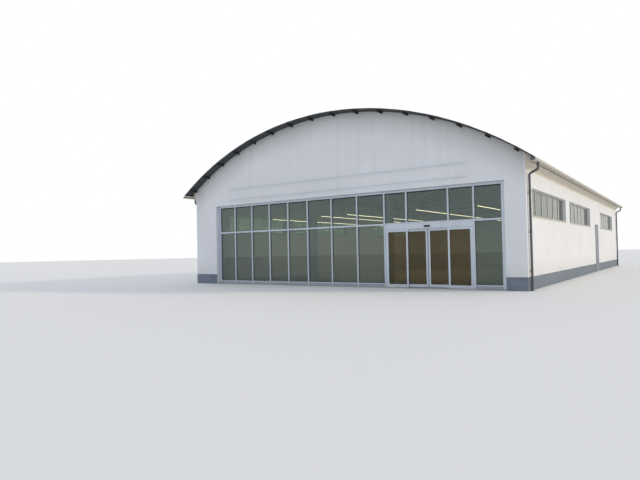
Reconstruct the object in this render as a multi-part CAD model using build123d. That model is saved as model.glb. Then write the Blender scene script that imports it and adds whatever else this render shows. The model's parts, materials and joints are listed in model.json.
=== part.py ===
from build123d import *
import os
from math import asin, cos, degrees, radians, sin, sqrt

# Arched-roof hall with a glazed front, automatic sliding doors and a side service door.
# Millimetres. X runs along the front, Y runs back into the hall and the front faces -Y.
# Z is up. The origin is on the ground, at the middle of the plan.

# Hall and walls
hall_width = 20000
hall_length = 33000
side_wall = 300
front_wall = 350
rear_wall = 300
floor_level = 30
eaves_height = 5800
roof_rise = 3160

# Roof panel and purlins
roof_panel = 60
roof_verge = 580
roof_eaves = 450
bedding = 0.3
purlin_width = 70
purlin_depth = 105
purlin_spacing = 1400
purlin_pair_count = 7
purlin_end_setback = 10
purlin_row_shift = -115

# Roof ribs, ties and hangers
rib_count = 5
rib_depth = 300
rib_flange_width = 160
rib_flange = 16
rib_web = 10
shoe_length = 300
shoe_width = 220
tie_drop = 140
shoe_drop = 200
tie_radius = 18
turnbuckle_radius = 32
turnbuckle_length = 320
turnbuckle_offset = 2400
hanger_radius = 8
hanger_offset = 4800
clamp_wall = 6
clamp_length = 40
clamp_clearance = 0.15

# Eaves cornice, gutters and downpipes
cornice_projection = 250
cornice_drop = 710
cornice_knee_projection = 60
cornice_knee_rise = 120
cornice_lip_rise = 280
gutter_gap = 100
gutter_width = 190
gutter_height = 105
gutter_drop = 335
gutter_sheet = 5
gutter_length_count = 4
gutter_joint = 2
gutter_round = 40
gutter_bracket_count = 12
gutter_bracket_width = 30
gutter_bracket_height = 30
gutter_bracket_inset = 10
downpipe_radius = 50
downpipe_wall_gap = 40
downpipe_end_distance = 300
downpipe_drop = 265
downpipe_neck = 170
downpipe_bend = 110
clip_count = 3
clip_band = 5
clip_height = 36
clip_stem = 24

# Glazed front
left_pier = 1750
right_pier = 890
opening_head = 4730
glazing_recess = 200
frame_depth = 120
mullion_width = 80
edge_mullion_width = 190
narrow_bay = 1350
narrow_bays = 5
wide_bays = 3
transom_height = 90
transom_centre = 3095
head_bar = 120
sill_bar = 60
base_panel_top = 150
base_panel_setback = 15
base_panel_thickness = 60
glass_thickness = 24
glazing_gap = 0.3

# Automatic door unit
door_centre = 5470
door_unit_width = 4550
jamb_post = 120
jamb_setback = 25
header_bottom = 2790
header_top = 3150
header_depth = 200
header_setback = 10
header_sheet = 6
header_slot = 70
door_half_opening = 1000
sidelite_stile = 90
sidelite_outer_stile = 30
sidelite_thickness = 50
sidelite_setback = 20
door_top_rail = 80
door_bottom_rail = 150
leaf_thickness = 45
leaf_layer_gap = 12
leaf_outer_stile = 80
leaf_meeting_stile = 105
leaf_meeting_gap = 6
leaf_floor_clearance = 10
leaf_head_clearance = 8
leaf_stop_clearance = 10
hanger_plate = 6
hanger_plate_width = 90
hanger_plate_height = 140
hanger_plate_inset = 160
roller_radius = 25
roller_width = 20
roller_axle_height = 118
track_thickness = 20
track_plate_clearance = 7
sensor_width = 280
sensor_height = 80
sensor_depth = 50

# Columns and beam behind the glazing
column_size = 400
column_setback = 100
front_beam_height = 600

# Side windows
window_sill = 3155
window_head = 4400
side_bay_count = 22
window_starts_in_bays = (0.7, 6.52, 14.9)
window_width_in_bays = 5.07
window_panes = 6
window_recess = 150
window_frame_depth = 60
window_frame_width = 50
window_bar = 45
window_glass = 20
sill_projection = 50
sill_overlap = 40
sill_thickness = 45

# Side service door
side_door_start_in_bays = 13.03
side_door_width = 1700
side_door_head = 3410
side_door_recess = 200
side_frame_width = 45
side_frame_depth = 80
side_leaf_thickness = 50
side_leaf_gap = 5
side_meeting_gap = 8
side_leaf_floor_clearance = 10
hinge_heights = (300, 1700, 3080)
hinge_barrel = 9
hinge_pin = 4
hinge_pin_clearance = 0.3
hinge_barrel_height = 60
hinge_knuckle_height = 25
hinge_knuckle_gap = 1
hinge_strap = 40
hinge_strap_thickness = 3
handle_height = 1050
handle_plate_width = 50
handle_plate_height = 180
handle_plate_thickness = 8
handle_reach = 55
handle_length = 130
handle_bar = 10
handle_neck = 8
handle_heel = 16

# Plinth, sign rails and lights
plinth_height = 560
plinth_thickness = 12
sign_rail_rises = (300, 930)
sign_rail_left = -7070
sign_rail_right = 7500
sign_rail_size = 25
sign_standoff = 60
sign_standoff_radius = 8
sign_standoffs = 9
light_row_places = (-8200, -4100, -2100, 2600, 6200)
light_width = 80
light_depth = 45
light_underside = 4150
light_overrun = 130
light_rod_radius = 5

# Planes and levels that follow from the sizes above
x_face = hall_width / 2
x_inner = x_face - side_wall
y_front = -hall_length / 2
y_rear = hall_length / 2
y_front_inner = y_front + front_wall
y_rear_inner = y_rear - rear_wall
soffit_radius = (x_face**2 + roof_rise**2) / (2 * roof_rise)
arch_centre = eaves_height + roof_rise - soffit_radius
wall_top_radius = soffit_radius - bedding
purlin_seat_radius = soffit_radius - purlin_depth
shoe_seat_radius = purlin_seat_radius - rib_depth - bedding
opening_left = -x_face + left_pier
opening_right = x_face - right_pier
y_frame = y_front + glazing_recess
y_frame_back = y_frame + frame_depth
glass_bottom = base_panel_top + sill_bar
glass_top = opening_head - head_bar
leaf_outer_edge = door_half_opening + sidelite_stile
door_half_clear = door_unit_width / 2 - mullion_width - jamb_post
leaf_travel = door_half_clear - leaf_outer_edge - leaf_stop_clearance
y_sidelite = y_frame + sidelite_setback
y_leaf = y_sidelite + sidelite_thickness + leaf_layer_gap
side_bay = hall_length / side_bay_count
side_door_y0 = y_front + side_door_start_in_bays * side_bay
side_door_y1 = side_door_y0 + side_door_width
x_side_frame = x_face - side_door_recess


def block(x0, x1, y0, y1, z0, z1):
    """A box between two corners."""
    size = Box(abs(x1 - x0), abs(y1 - y0), abs(z1 - z0))
    return Pos((x0 + x1) / 2, (y0 + y1) / 2, (z0 + z1) / 2) * size


def rod_x(x0, x1, y, z, radius):
    """A round bar along X."""
    return Pos((x0 + x1) / 2, y, z) * Rot(0, 90, 0) * Cylinder(radius, abs(x1 - x0))


def rod_y(x, y0, y1, z, radius):
    """A round bar along Y."""
    return Pos(x, (y0 + y1) / 2, z) * Rot(90, 0, 0) * Cylinder(radius, abs(y1 - y0))


def rod_z(x, y, z0, z1, radius):
    """A round bar along Z."""
    return Pos(x, y, (z0 + z1) / 2) * Cylinder(radius, abs(z1 - z0))


def arch_height(x, radius):
    """The height of an arc about the roof's centre line, at a distance x from the middle."""
    return arch_centre + sqrt(radius**2 - x**2)


tie_height = arch_height(x_inner, shoe_seat_radius) - tie_drop


def arch_point(angle, radius, y):
    """A point on such an arc, at an angle in degrees from the crown."""
    turn = radians(angle)
    return (radius * sin(turn), y, arch_centre + radius * cos(turn))


def arch_arc(x0, x1, radius, y):
    """An edge along such an arc, from x0 to x1."""
    middle = (x0 + x1) / 2
    ends = [(x, y, arch_height(x, radius)) for x in (x0, middle, x1)]
    return ThreePointArc(*ends)


def profile_along_y(edges, y0, y1):
    """A closed outline drawn at y0, extruded to y1."""
    return extrude(make_face(Wire(edges)), amount=y1 - y0, dir=(0, 1, 0))


def outline(points, y):
    """Straight edges through points given as (x, z), drawn at y, left open at the end."""
    corners = [(x, y, z) for x, z in points]
    return [Line(a, b) for a, b in zip(corners, corners[1:])]


def arch_band(inner, outer, half_span, y0, y1):
    """A curved band between two radii, cut off upright at each end of its span."""
    right = [(half_span, arch_height(half_span, r)) for r in (inner, outer)]
    left = [(-x, z) for x, z in reversed(right)]
    edges = [arch_arc(-half_span, half_span, inner, y0)]
    edges += outline(right, y0)
    edges += [arch_arc(half_span, -half_span, outer, y0)]
    edges += outline(left, y0)
    return profile_along_y(edges, y0, y1)


def under_arch(x0, x1, y0, y1, foot):
    """A wall from a level foot up to the roof panel's underside."""
    top = [arch_height(x, wall_top_radius) for x in (x0, x1)]
    edges = outline([(x1, top[1]), (x1, foot), (x0, foot), (x0, top[0])], y0)
    edges += [arch_arc(x0, x1, wall_top_radius, y0)]
    return profile_along_y(edges, y0, y1)


def mirror_x(solids):
    """The same pieces on the other side of the hall."""
    return [mirror(solid, about=Plane.YZ) for solid in solids]


def ring(x0, x1, y0, y1, z0, z1, left, right, bottom, top):
    """An upright frame in the XZ plane, with its four members' widths."""
    hole = block(x0 + left, x1 - right, y0, y1, z0 + bottom, z1 - top)
    return block(x0, x1, y0, y1, z0, z1) - hole


def clamp_ring(x, y, z):
    """A clamp around a tie rod, which runs along X."""
    outer = rod_x(x - clamp_length / 2, x + clamp_length / 2, y, z, tie_radius + clamp_wall)
    bore = rod_x(x - clamp_length / 2, x + clamp_length / 2, y, z, tie_radius + clamp_clearance)
    return outer - bore


# Purlins


def purlin_angles(first, last):
    """Angles from the crown of the purlins with these numbers, on both sides.

    The whole row stands a little to one side, as the sheets were laid from one eaves.
    """
    step = degrees(purlin_spacing / soffit_radius)
    shift = degrees(purlin_row_shift / soffit_radius)
    one_side = [(number + 0.5) * step for number in range(first, last)]
    return [side * angle + shift for angle in one_side for side in (-1, 1)]


def purlin(angle, y0, y1):
    """A bar square to the arch, with its flat top just inside the roof panel."""
    top = sqrt(wall_top_radius**2 - (purlin_width / 2) ** 2)
    depth = top - purlin_seat_radius
    bar = Box(purlin_width, y1 - y0, depth)
    x, y, z = arch_point(angle, purlin_seat_radius + depth / 2, (y0 + y1) / 2)
    return Pos(x, y, z) * Rot(0, angle, 0) * bar


y_purlin_end = y_rear + roof_verge - purlin_end_setback
full_purlins = [
    purlin(angle, -y_purlin_end, y_purlin_end) for angle in purlin_angles(0, purlin_pair_count)
]


def purlin_pockets():
    """Cutters for the gables, open at the top, where the purlins pass through."""
    middle = purlin_seat_radius + purlin_depth
    pockets = []
    for angle in purlin_angles(0, purlin_pair_count):
        x, y, z = arch_point(angle, middle, 0)
        cutter = Box(purlin_width, hall_length, 2 * purlin_depth)
        pockets.append(Pos(x, y, z) * Rot(0, angle, 0) * cutter)
    return pockets


def corner_outriggers():
    """Short bars at the four corners, bearing on the gables and reaching out under the verge."""
    angles = purlin_angles(purlin_pair_count, purlin_pair_count + 1)
    front = [purlin(angle, -y_purlin_end, y_front) for angle in angles]
    rear = [purlin(angle, y_rear, y_purlin_end) for angle in angles]
    return front + rear


# Walls


def front_gable():
    wall = under_arch(-x_face, x_face, y_front, y_front_inner, opening_head)
    return [wall - purlin_pockets()]


def rear_gable():
    wall = under_arch(-x_face, x_face, y_rear_inner, y_rear, 0)
    return [wall - purlin_pockets()]


def front_piers():
    left = block(-x_face, opening_left, y_front, y_front_inner, 0, opening_head)
    right = block(opening_right, x_face, y_front, y_front_inner, 0, opening_head)
    return [left, right]


def window_spans():
    """Where each window starts and ends along Y."""
    starts = [y_front + number * side_bay for number in window_starts_in_bays]
    return [(start, start + window_width_in_bays * side_bay) for start in starts]


def pier_spans(holes):
    """The stretches of wall between the given holes along Y."""
    starts = [y_front_inner] + [end for _, end in holes]
    ends = [start for start, _ in holes] + [y_rear_inner]
    return list(zip(starts, ends))


def wall_stretch(span, z0, z1):
    return block(x_inner, x_face, span[0], span[1], z0, z1)


side_door_hole = (side_door_y0, side_door_y1)


def side_walls_lower():
    """The side walls up to the window sills, with the service door in the right one."""
    right = [wall_stretch(span, 0, window_sill) for span in pier_spans([side_door_hole])]
    return right + mirror_x([wall_stretch((y_front_inner, y_rear_inner), 0, window_sill)])


def side_wall_piers():
    """The stretches of wall between the windows."""
    windows = window_spans()
    holes = sorted(windows + [side_door_hole])
    right = [wall_stretch(span, window_sill, window_head) for span in pier_spans(holes)]
    left = [wall_stretch(span, window_sill, window_head) for span in pier_spans(windows)]
    return right + mirror_x(left)


def side_door_lintel():
    return [wall_stretch(side_door_hole, side_door_head, window_head)]


def side_wall_heads():
    """The solid wall from the window heads up to the roof."""
    right = [under_arch(x_inner, x_face, y_front_inner, y_rear_inner, window_head)]
    return right + mirror_x(right)


def floor_slab():
    return [block(-x_inner, x_inner, y_front_inner, y_rear_inner, 0, floor_level)]


def door_thresholds():
    front = block(opening_left, opening_right, y_front, y_front_inner, 0, floor_level)
    side = block(x_inner, x_face, side_door_y0, side_door_y1, 0, floor_level)
    return [front, side]


def gable_plinths():
    """The dark band at the foot of the front piers and the rear wall, a little proud of them."""
    outer = x_face + plinth_thickness
    return [
        block(-outer, opening_left, y_front - plinth_thickness, y_front, 0, plinth_height),
        block(opening_right, outer, y_front - plinth_thickness, y_front, 0, plinth_height),
        block(-outer, outer, y_rear, y_rear + plinth_thickness, 0, plinth_height),
    ]


def side_plinths():
    """The same band along the side walls."""
    outer = x_face + plinth_thickness
    return [
        block(x_face, outer, y_front, side_door_y0, 0, plinth_height),
        block(x_face, outer, side_door_y1, y_rear, 0, plinth_height),
        block(-outer, -x_face, y_front, y_rear, 0, plinth_height),
    ]


# Eaves


def right_cornice():
    """A soffit in two slopes and an upright fascia, on the wall's top edge."""
    lip = x_face + cornice_projection
    foot = eaves_height - cornice_drop
    points = [(x_face, arch_height(x_face, wall_top_radius)), (x_face, foot)]
    points += [(x_face + cornice_knee_projection, foot + cornice_knee_rise)]
    points += [(lip, foot + cornice_lip_rise), (lip, arch_height(lip, wall_top_radius))]
    edges = outline(points, y_front) + [arch_arc(lip, x_face, wall_top_radius, y_front)]
    return [profile_along_y(edges, y_front, y_rear)]


def trough(x0, x1, z0, z1, corner, y0, y1):
    """A bar with a round lower outer edge, for the outside or the inside of the gutter."""
    bend = corner * (1 - cos(radians(45)))
    edges = outline([(x1, z0 + corner), (x1, z1), (x0, z1), (x0, z0), (x1 - corner, z0)], y0)
    edges += [
        ThreePointArc((x1 - corner, y0, z0), (x1 - bend, y0, z0 + bend), (x1, y0, z0 + corner))
    ]
    return profile_along_y(edges, y0, y1)


x_fascia = x_face + cornice_projection
x_gutter = x_fascia + gutter_gap
x_outlet = x_gutter + gutter_width / 2
gutter_top = eaves_height - gutter_drop
y_gutter_end = y_rear + roof_verge
downpipe_places = (y_front + downpipe_end_distance, y_rear - downpipe_end_distance)


def right_gutter():
    """Lengths of open trough end to end, closed at the outer ends, with outlets over the downpipes."""
    bottom = gutter_top - gutter_height
    outer = trough(
        x_gutter, x_gutter + gutter_width, bottom, gutter_top, gutter_round, -y_gutter_end, y_gutter_end
    )
    inner = trough(
        x_gutter + gutter_sheet,
        x_gutter + gutter_width - gutter_sheet,
        bottom + gutter_sheet,
        gutter_top,
        gutter_round - gutter_sheet,
        -y_gutter_end + gutter_sheet,
        y_gutter_end - gutter_sheet,
    )
    holes = [
        rod_z(x_outlet, y, bottom, bottom + gutter_sheet, downpipe_radius - gutter_sheet)
        for y in downpipe_places
    ]
    length = 2 * y_gutter_end / gutter_length_count
    half = gutter_joint / 2
    joints = [
        block(x_gutter, x_gutter + gutter_width, y - half, y + half, bottom, gutter_top)
        for y in [number * length - y_gutter_end for number in range(1, gutter_length_count)]
    ]
    return list((outer - inner - holes - joints).solids())


def right_gutter_brackets():
    """Bars from the fascia to the gutter's inner side."""
    step = hall_length / gutter_bracket_count
    half = gutter_bracket_width / 2
    z1 = gutter_top - gutter_bracket_inset
    places = [y_front + (number + 0.5) * step for number in range(gutter_bracket_count)]
    return [
        block(x_fascia, x_gutter, y - half, y + half, z1 - gutter_bracket_height, z1) for y in places
    ]


x_downpipe = x_face + downpipe_wall_gap + downpipe_radius


def right_downpipes():
    """Each drops from the gutter, steps back to the wall and runs down to the ground."""
    top = gutter_top - gutter_height
    solids = []
    for y in downpipe_places:
        route = FilletPolyline(
            (x_outlet, y, top),
            (x_outlet, y, top - downpipe_drop),
            (x_downpipe, y, top - downpipe_drop - downpipe_neck),
            (x_downpipe, y, 0),
            radius=downpipe_bend,
        )
        section = Plane(origin=(x_outlet, y, top), z_dir=(0, 0, -1)) * Circle(downpipe_radius)
        solids.append(sweep(section, path=route))
    return solids


def right_downpipe_clips():
    """A band round the pipe, with a stem back to the wall."""
    solids = []
    step = (gutter_top - gutter_height - downpipe_drop - downpipe_neck) / clip_count
    clip_heights = [(number + 0.5) * step for number in range(clip_count)]
    for y in downpipe_places:
        for z in clip_heights:
            low, high = z - clip_height / 2, z + clip_height / 2
            band = rod_z(x_downpipe, y, low, high, downpipe_radius + clip_band)
            stem = block(x_face, x_downpipe, y - clip_stem / 2, y + clip_stem / 2, low, high)
            bore = rod_z(x_downpipe, y, low, high, downpipe_radius + bedding)
            solids.append(band + stem - bore)
    return solids


# Roof


def roof_shell():
    """The curved panel, cut square to its own slope at the eaves."""
    edge = degrees(asin((x_face + roof_eaves) / soffit_radius))
    outer = soffit_radius + roof_panel
    y0 = -y_gutter_end
    inner_ends = [arch_point(angle, soffit_radius, y0) for angle in (-edge, edge)]
    outer_ends = [arch_point(angle, outer, y0) for angle in (-edge, edge)]
    edges = [
        ThreePointArc(inner_ends[0], arch_point(0, soffit_radius, y0), inner_ends[1]),
        Line(inner_ends[1], outer_ends[1]),
        ThreePointArc(outer_ends[1], arch_point(0, outer, y0), outer_ends[0]),
        Line(outer_ends[0], inner_ends[0]),
    ]
    return [profile_along_y(edges, y0, y_gutter_end)]


def rib_places():
    """Where the ribs stand along Y, in equal bays between the gables."""
    bay = hall_length / (rib_count + 1)
    return [y_front + bay * number for number in range(1, rib_count + 1)]


def roof_ribs():
    """Curved I-sections from wall to wall, under the purlins."""
    top = purlin_seat_radius
    foot = top - rib_depth
    solids = []
    for y in rib_places():
        half = rib_flange_width / 2
        lower = arch_band(foot, foot + rib_flange, x_inner, y - half, y + half)
        upper = arch_band(top - rib_flange, top, x_inner, y - half, y + half)
        web = arch_band(
            foot + rib_flange, top - rib_flange, x_inner, y - rib_web / 2, y + rib_web / 2
        )
        solids.append(lower + web + upper)
    return solids


def rib_shoes():
    """Wall brackets that carry the rib ends and take the tie rods."""
    seat = shoe_seat_radius
    x0 = x_inner - shoe_length
    solids = []
    for y in rib_places():
        y0 = y - shoe_width / 2
        points = [(x_inner, arch_height(x_inner, seat)), (x_inner, tie_height - shoe_drop)]
        points += [(x0, tie_height - 2 * tie_radius), (x0, arch_height(x0, seat))]
        edges = outline(points, y0) + [arch_arc(x0, x_inner, seat, y0)]
        shoe = profile_along_y(edges, y0, y0 + shoe_width)
        solids += [shoe] + mirror_x([shoe])
    return solids


def tie_rods():
    """A round rod between each pair of shoes, with a turnbuckle."""
    reach = x_inner - shoe_length
    solids = []
    for y in rib_places():
        rod = rod_x(-reach, reach, y, tie_height, tie_radius)
        x0 = turnbuckle_offset - turnbuckle_length / 2
        sleeve = rod_x(x0, x0 + turnbuckle_length, y, tie_height, turnbuckle_radius)
        solids.append(rod + sleeve)
    return solids


def tie_hangers():
    """Rods that hold each tie up from its rib."""
    underside = shoe_seat_radius
    solids = []
    for y in rib_places():
        for x in (-hanger_offset, 0, hanger_offset):
            top = arch_height(abs(x) + hanger_radius, underside)
            rod = rod_z(x, y, tie_height + tie_radius + clamp_wall / 2, top, hanger_radius)
            solids.append(rod + clamp_ring(x, y, tie_height))
    return solids


def light_bars():
    """The rows of lights, each one long bar under the ties."""
    places = rib_places()
    y0, y1 = places[0] - light_overrun, places[-1] + light_overrun
    half = light_width / 2
    top = light_underside + light_depth
    return [block(x - half, x + half, y0, y1, light_underside, top) for x in light_row_places]


def light_rods():
    """Rods that hang the lights from the ties."""
    top = light_underside + light_depth
    solids = []
    for y in rib_places():
        for x in light_row_places:
            rod = rod_z(x, y, top, tie_height - tie_radius - clamp_wall / 2, light_rod_radius)
            solids.append(rod + clamp_ring(x, y, tie_height))
    return solids


# Glazed front


def upright_span(x):
    """The left and right edges of a mullion centred at x."""
    return (x - mullion_width / 2, x + mullion_width / 2)


def full_mullions():
    """The edges of the full-height mullions left and right of the door unit, in order."""
    half = mullion_width / 2
    narrow = [opening_left + half + narrow_bay * number for number in range(1, narrow_bays + 1)]
    unit_left = door_centre - door_unit_width / 2 + half
    wide_bay = (unit_left - narrow[-1]) / wide_bays
    wide = [narrow[-1] + wide_bay * number for number in range(1, wide_bays + 1)]
    left = [(opening_left, opening_left + edge_mullion_width)]
    left += [upright_span(x) for x in narrow + wide]
    right = [upright_span(door_centre + door_unit_width / 2 - half)]
    right += [(opening_right - edge_mullion_width, opening_right)]
    return left, right


left_mullions, right_mullions = full_mullions()
header_left = left_mullions[-1][1]
header_right = right_mullions[0][0]
door_left = door_centre - door_half_clear
door_right = door_centre + door_half_clear
head_mullion_offset = door_half_opening + sidelite_stile / 2
head_mullions = [upright_span(door_centre + side * head_mullion_offset) for side in (-1, 1)]


def mullion(span, z0):
    return block(*span, y_frame, y_frame_back, z0, opening_head)


def curtain_mullions():
    full = [mullion(span, floor_level) for span in left_mullions + right_mullions]
    return full + [mullion(span, header_top) for span in head_mullions]


def door_jamb_posts():
    """Posts beside the door unit, under its header and set back a little from the mullions."""
    y0 = y_frame + jamb_setback
    y1 = y_frame_back + jamb_setback
    left = block(header_left, door_left, y0, y1, floor_level, header_bottom)
    right = block(door_right, header_right, y0, y1, floor_level, header_bottom)
    return [left, right]


def clear_bays(spans):
    """The clear widths between neighbouring mullions."""
    return [(a[1], b[0]) for a, b in zip(spans, spans[1:])]


plain_bays = clear_bays(left_mullions) + clear_bays(right_mullions)
door_bays = clear_bays([left_mullions[-1]] + head_mullions + [right_mullions[0]])


def curtain_transoms():
    """Level bars between the mullions: at the head, across the middle and over the base."""
    half = transom_height / 2
    head = (glass_top, opening_head)
    middle = (transom_centre - half, transom_centre + half)
    sill = (base_panel_top, glass_bottom)
    solids = []
    for x0, x1 in plain_bays:
        solids += [block(x0, x1, y_frame, y_frame_back, z0, z1) for z0, z1 in (head, middle, sill)]
    for x0, x1 in door_bays:
        solids.append(block(x0, x1, y_frame, y_frame_back, *head))
    return solids


def curtain_base_panels():
    y0 = y_frame + base_panel_setback
    y1 = y0 + base_panel_thickness
    return [block(x0, x1, y0, y1, floor_level, base_panel_top) for x0, x1 in plain_bays]


def pane(x0, x1, y, z0, z1):
    """A sheet of glass just inside its frame, centred at y."""
    half = glass_thickness / 2
    gap = glazing_gap
    return block(x0 + gap, x1 - gap, y - half, y + half, z0 + gap, z1 - gap)


def curtain_glass():
    """Two panes to each plain bay, and one over the door's header in each of its bays."""
    y = (y_frame + y_frame_back) / 2
    half = transom_height / 2
    solids = [pane(x0, x1, y, header_top, glass_top) for x0, x1 in door_bays]
    for x0, x1 in plain_bays:
        solids.append(pane(x0, x1, y, transom_centre + half, glass_top))
        solids.append(pane(x0, x1, y, glass_bottom, transom_centre - half))
    return solids


# Automatic sliding doors


y_header = y_frame + header_setback
y_leaf_middle = y_leaf + leaf_thickness / 2


def door_header():
    """The drive's housing: a closed box with a slot below, where the leaves hang."""
    y1 = y_header + header_depth
    sheet = header_sheet
    outer = block(header_left, header_right, y_header, y1, header_bottom, header_top)
    cavity = block(
        header_left + sheet,
        header_right - sheet,
        y_header + sheet,
        y1 - sheet,
        header_bottom + sheet,
        header_top - sheet,
    )
    slot = block(
        door_left + sheet,
        door_right - sheet,
        y_leaf_middle - header_slot / 2,
        y_leaf_middle + header_slot / 2,
        header_bottom,
        header_bottom + sheet,
    )
    return [outer - cavity - slot]


leaf_top = header_bottom - leaf_head_clearance
roller_axle = leaf_top + roller_axle_height


def door_track():
    """The rail in the housing that the rollers run on."""
    y0 = y_leaf_middle + hanger_plate / 2 + track_plate_clearance
    y1 = y_header + header_depth - header_sheet
    z1 = roller_axle - roller_radius - bedding
    z0 = z1 - track_thickness
    return [block(header_left + header_sheet, header_right - header_sheet, y0, y1, z0, z1)]


def door_sensor():
    x0 = door_centre - sensor_width / 2
    z0 = (header_bottom + header_top) / 2 - sensor_height
    y0 = y_header - sensor_depth
    return [block(x0, x0 + sensor_width, y0, y_header, z0, z0 + sensor_height)]


def door_sidelites():
    """The fixed frames on both sides of the sliding leaves, and their glass."""
    y1 = y_sidelite + sidelite_thickness
    x_inside = door_centre - door_half_opening
    frame = ring(
        door_left, x_inside, y_sidelite, y1, floor_level, header_bottom,
        sidelite_outer_stile, sidelite_stile, door_bottom_rail, door_top_rail,
    )
    glass = pane(
        door_left + sidelite_outer_stile,
        x_inside - sidelite_stile,
        (y_sidelite + y1) / 2,
        floor_level + door_bottom_rail,
        header_bottom - door_top_rail,
    )
    about = Plane.YZ.offset(door_centre)
    return [frame, mirror(frame, about=about)], [glass, mirror(glass, about=about)]


def sliding_leaf():
    """The left leaf, as its frame, its glass and its hangers."""
    x0 = door_centre - leaf_outer_edge
    x1 = door_centre - leaf_meeting_gap / 2
    y1 = y_leaf + leaf_thickness
    z0 = floor_level + leaf_floor_clearance
    frame = ring(
        x0, x1, y_leaf, y1, z0, leaf_top,
        leaf_outer_stile, leaf_meeting_stile, door_bottom_rail, door_top_rail,
    )
    glass = pane(
        x0 + leaf_outer_stile,
        x1 - leaf_meeting_stile,
        y_leaf_middle,
        z0 + door_bottom_rail,
        leaf_top - door_top_rail,
    )
    hangers = []
    for x in (x0 + hanger_plate_inset, x1 - hanger_plate_inset):
        y_plate = y_leaf_middle + hanger_plate / 2
        plate = block(
            x - hanger_plate_width / 2,
            x + hanger_plate_width / 2,
            y_leaf_middle - hanger_plate / 2,
            y_plate,
            leaf_top,
            leaf_top + hanger_plate_height,
        )
        hangers.append(plate + rod_y(x, y_plate, y_plate + roller_width, roller_axle, roller_radius))
    return [frame], [glass], hangers


def mirrored_leaf(solids):
    """The right leaf, from the left one."""
    return [mirror(solid, about=Plane.YZ.offset(door_centre)) for solid in solids]


# Columns and beam behind the glazing


def front_columns():
    y0 = y_front_inner + column_setback
    spans = [left_mullions[0], left_mullions[narrow_bays], left_mullions[-1], right_mullions[-1]]
    places = [(left + right) / 2 for left, right in spans]
    half = column_size / 2
    y1 = y0 + column_size
    return [block(x - half, x + half, y0, y1, floor_level, opening_head) for x in places]


def front_beam():
    y1 = y_front_inner + column_setback + column_size
    z1 = opening_head + front_beam_height
    return [block(-x_inner, x_inner, y_front_inner, y1, opening_head, z1)]


# Side windows


def window_bays(span):
    """The clear panes of one window along Y."""
    y0, y1 = span[0] + window_frame_width, span[1] - window_frame_width
    pane_width = (y1 - y0 - (window_panes - 1) * window_bar) / window_panes
    step = pane_width + window_bar
    return [(y0 + step * number, y0 + step * number + pane_width) for number in range(window_panes)]


x_window = x_face - window_recess - window_frame_depth


def right_window_frames():
    solids = []
    low = window_sill + sill_thickness
    for span in window_spans():
        frame = block(x_window, x_window + window_frame_depth, span[0], span[1], low, window_head)
        panes = [
            block(
                x_window,
                x_window + window_frame_depth,
                y0,
                y1,
                low + window_frame_width,
                window_head - window_frame_width,
            )
            for y0, y1 in window_bays(span)
        ]
        solids.append(frame - panes)
    return solids


def right_window_glass():
    x0 = x_window + (window_frame_depth - window_glass) / 2
    low = window_sill + sill_thickness + window_frame_width + glazing_gap
    high = window_head - window_frame_width - glazing_gap
    return [
        block(x0, x0 + window_glass, y0 + glazing_gap, y1 - glazing_gap, low, high)
        for span in window_spans()
        for y0, y1 in window_bays(span)
    ]


def right_window_sills():
    """A slab on the wall under each window, with a lip in front of the wall."""
    solids = []
    for y0, y1 in window_spans():
        bed = block(x_window, x_face, y0, y1, window_sill, window_sill + sill_thickness)
        lip = block(
            x_face,
            x_face + sill_projection,
            y0 - sill_overlap,
            y1 + sill_overlap,
            window_sill,
            window_sill + sill_thickness,
        )
        solids.append(bed + lip)
    return solids


# Side service door


x_hinge = x_side_frame + hinge_barrel
side_leaf_inset = side_frame_width + side_leaf_gap
side_leaf_top = side_door_head - side_frame_width - side_leaf_gap
side_leaf_bottom = floor_level + side_leaf_floor_clearance
side_door_middle = (side_door_y0 + side_door_y1) / 2


def side_door_frame():
    """Two posts and a head, with the front and rear jambs alike."""
    x0 = x_side_frame - side_frame_depth
    outer = block(x0, x_side_frame, side_door_y0, side_door_y1, floor_level, side_door_head)
    hole = block(
        x0,
        x_side_frame,
        side_door_y0 + side_frame_width,
        side_door_y1 - side_frame_width,
        floor_level,
        side_door_head - side_frame_width,
    )
    return [outer - hole]


def front_hinge_line():
    """Where the pin of the front leaf stands along Y."""
    return side_door_y0 + side_frame_width + side_leaf_gap / 2


def frame_hinge(z):
    """The pin and its two outer knuckles, on a strap to the front jamb."""
    y = front_hinge_line()
    half = hinge_barrel_height / 2 + hinge_knuckle_gap
    end = half + hinge_knuckle_height
    pin = rod_z(x_hinge, y, z - end, z + end, hinge_pin)
    parts = [pin]
    for low, high in ((z - end, z - half), (z + half, z + end)):
        parts.append(rod_z(x_hinge, y, low, high, hinge_barrel))
        parts.append(
            block(x_side_frame, x_side_frame + hinge_strap_thickness, y - hinge_strap, y, low, high)
        )
    return parts[0] + parts[1:]


def side_door_hinges():
    front = [frame_hinge(z) for z in hinge_heights]
    return front + side_mirror(front)


def side_mirror(solids):
    """The rear leaf's pieces, from the front leaf's."""
    return [mirror(solid, about=Plane.XZ.offset(-side_door_middle)) for solid in solids]


def side_leaf():
    """The front leaf with its hinge barrels, which turn on the frame's pins."""
    y0 = side_door_y0 + side_leaf_inset
    y1 = side_door_middle - side_meeting_gap / 2
    x0 = x_side_frame - side_leaf_thickness
    leaf = block(x0, x_side_frame, y0, y1, side_leaf_bottom, side_leaf_top)
    y = front_hinge_line()
    for z in hinge_heights:
        low, high = z - hinge_barrel_height / 2, z + hinge_barrel_height / 2
        strap_face = x_side_frame + hinge_strap_thickness
        strap = block(x_side_frame, strap_face, y, y0 + hinge_strap, low, high)
        barrel = rod_z(x_hinge, y, low, high, hinge_barrel)
        bore = rod_z(x_hinge, y, low, high, hinge_pin + hinge_pin_clearance)
        leaf = leaf + strap + barrel - bore
    return [leaf]


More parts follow.
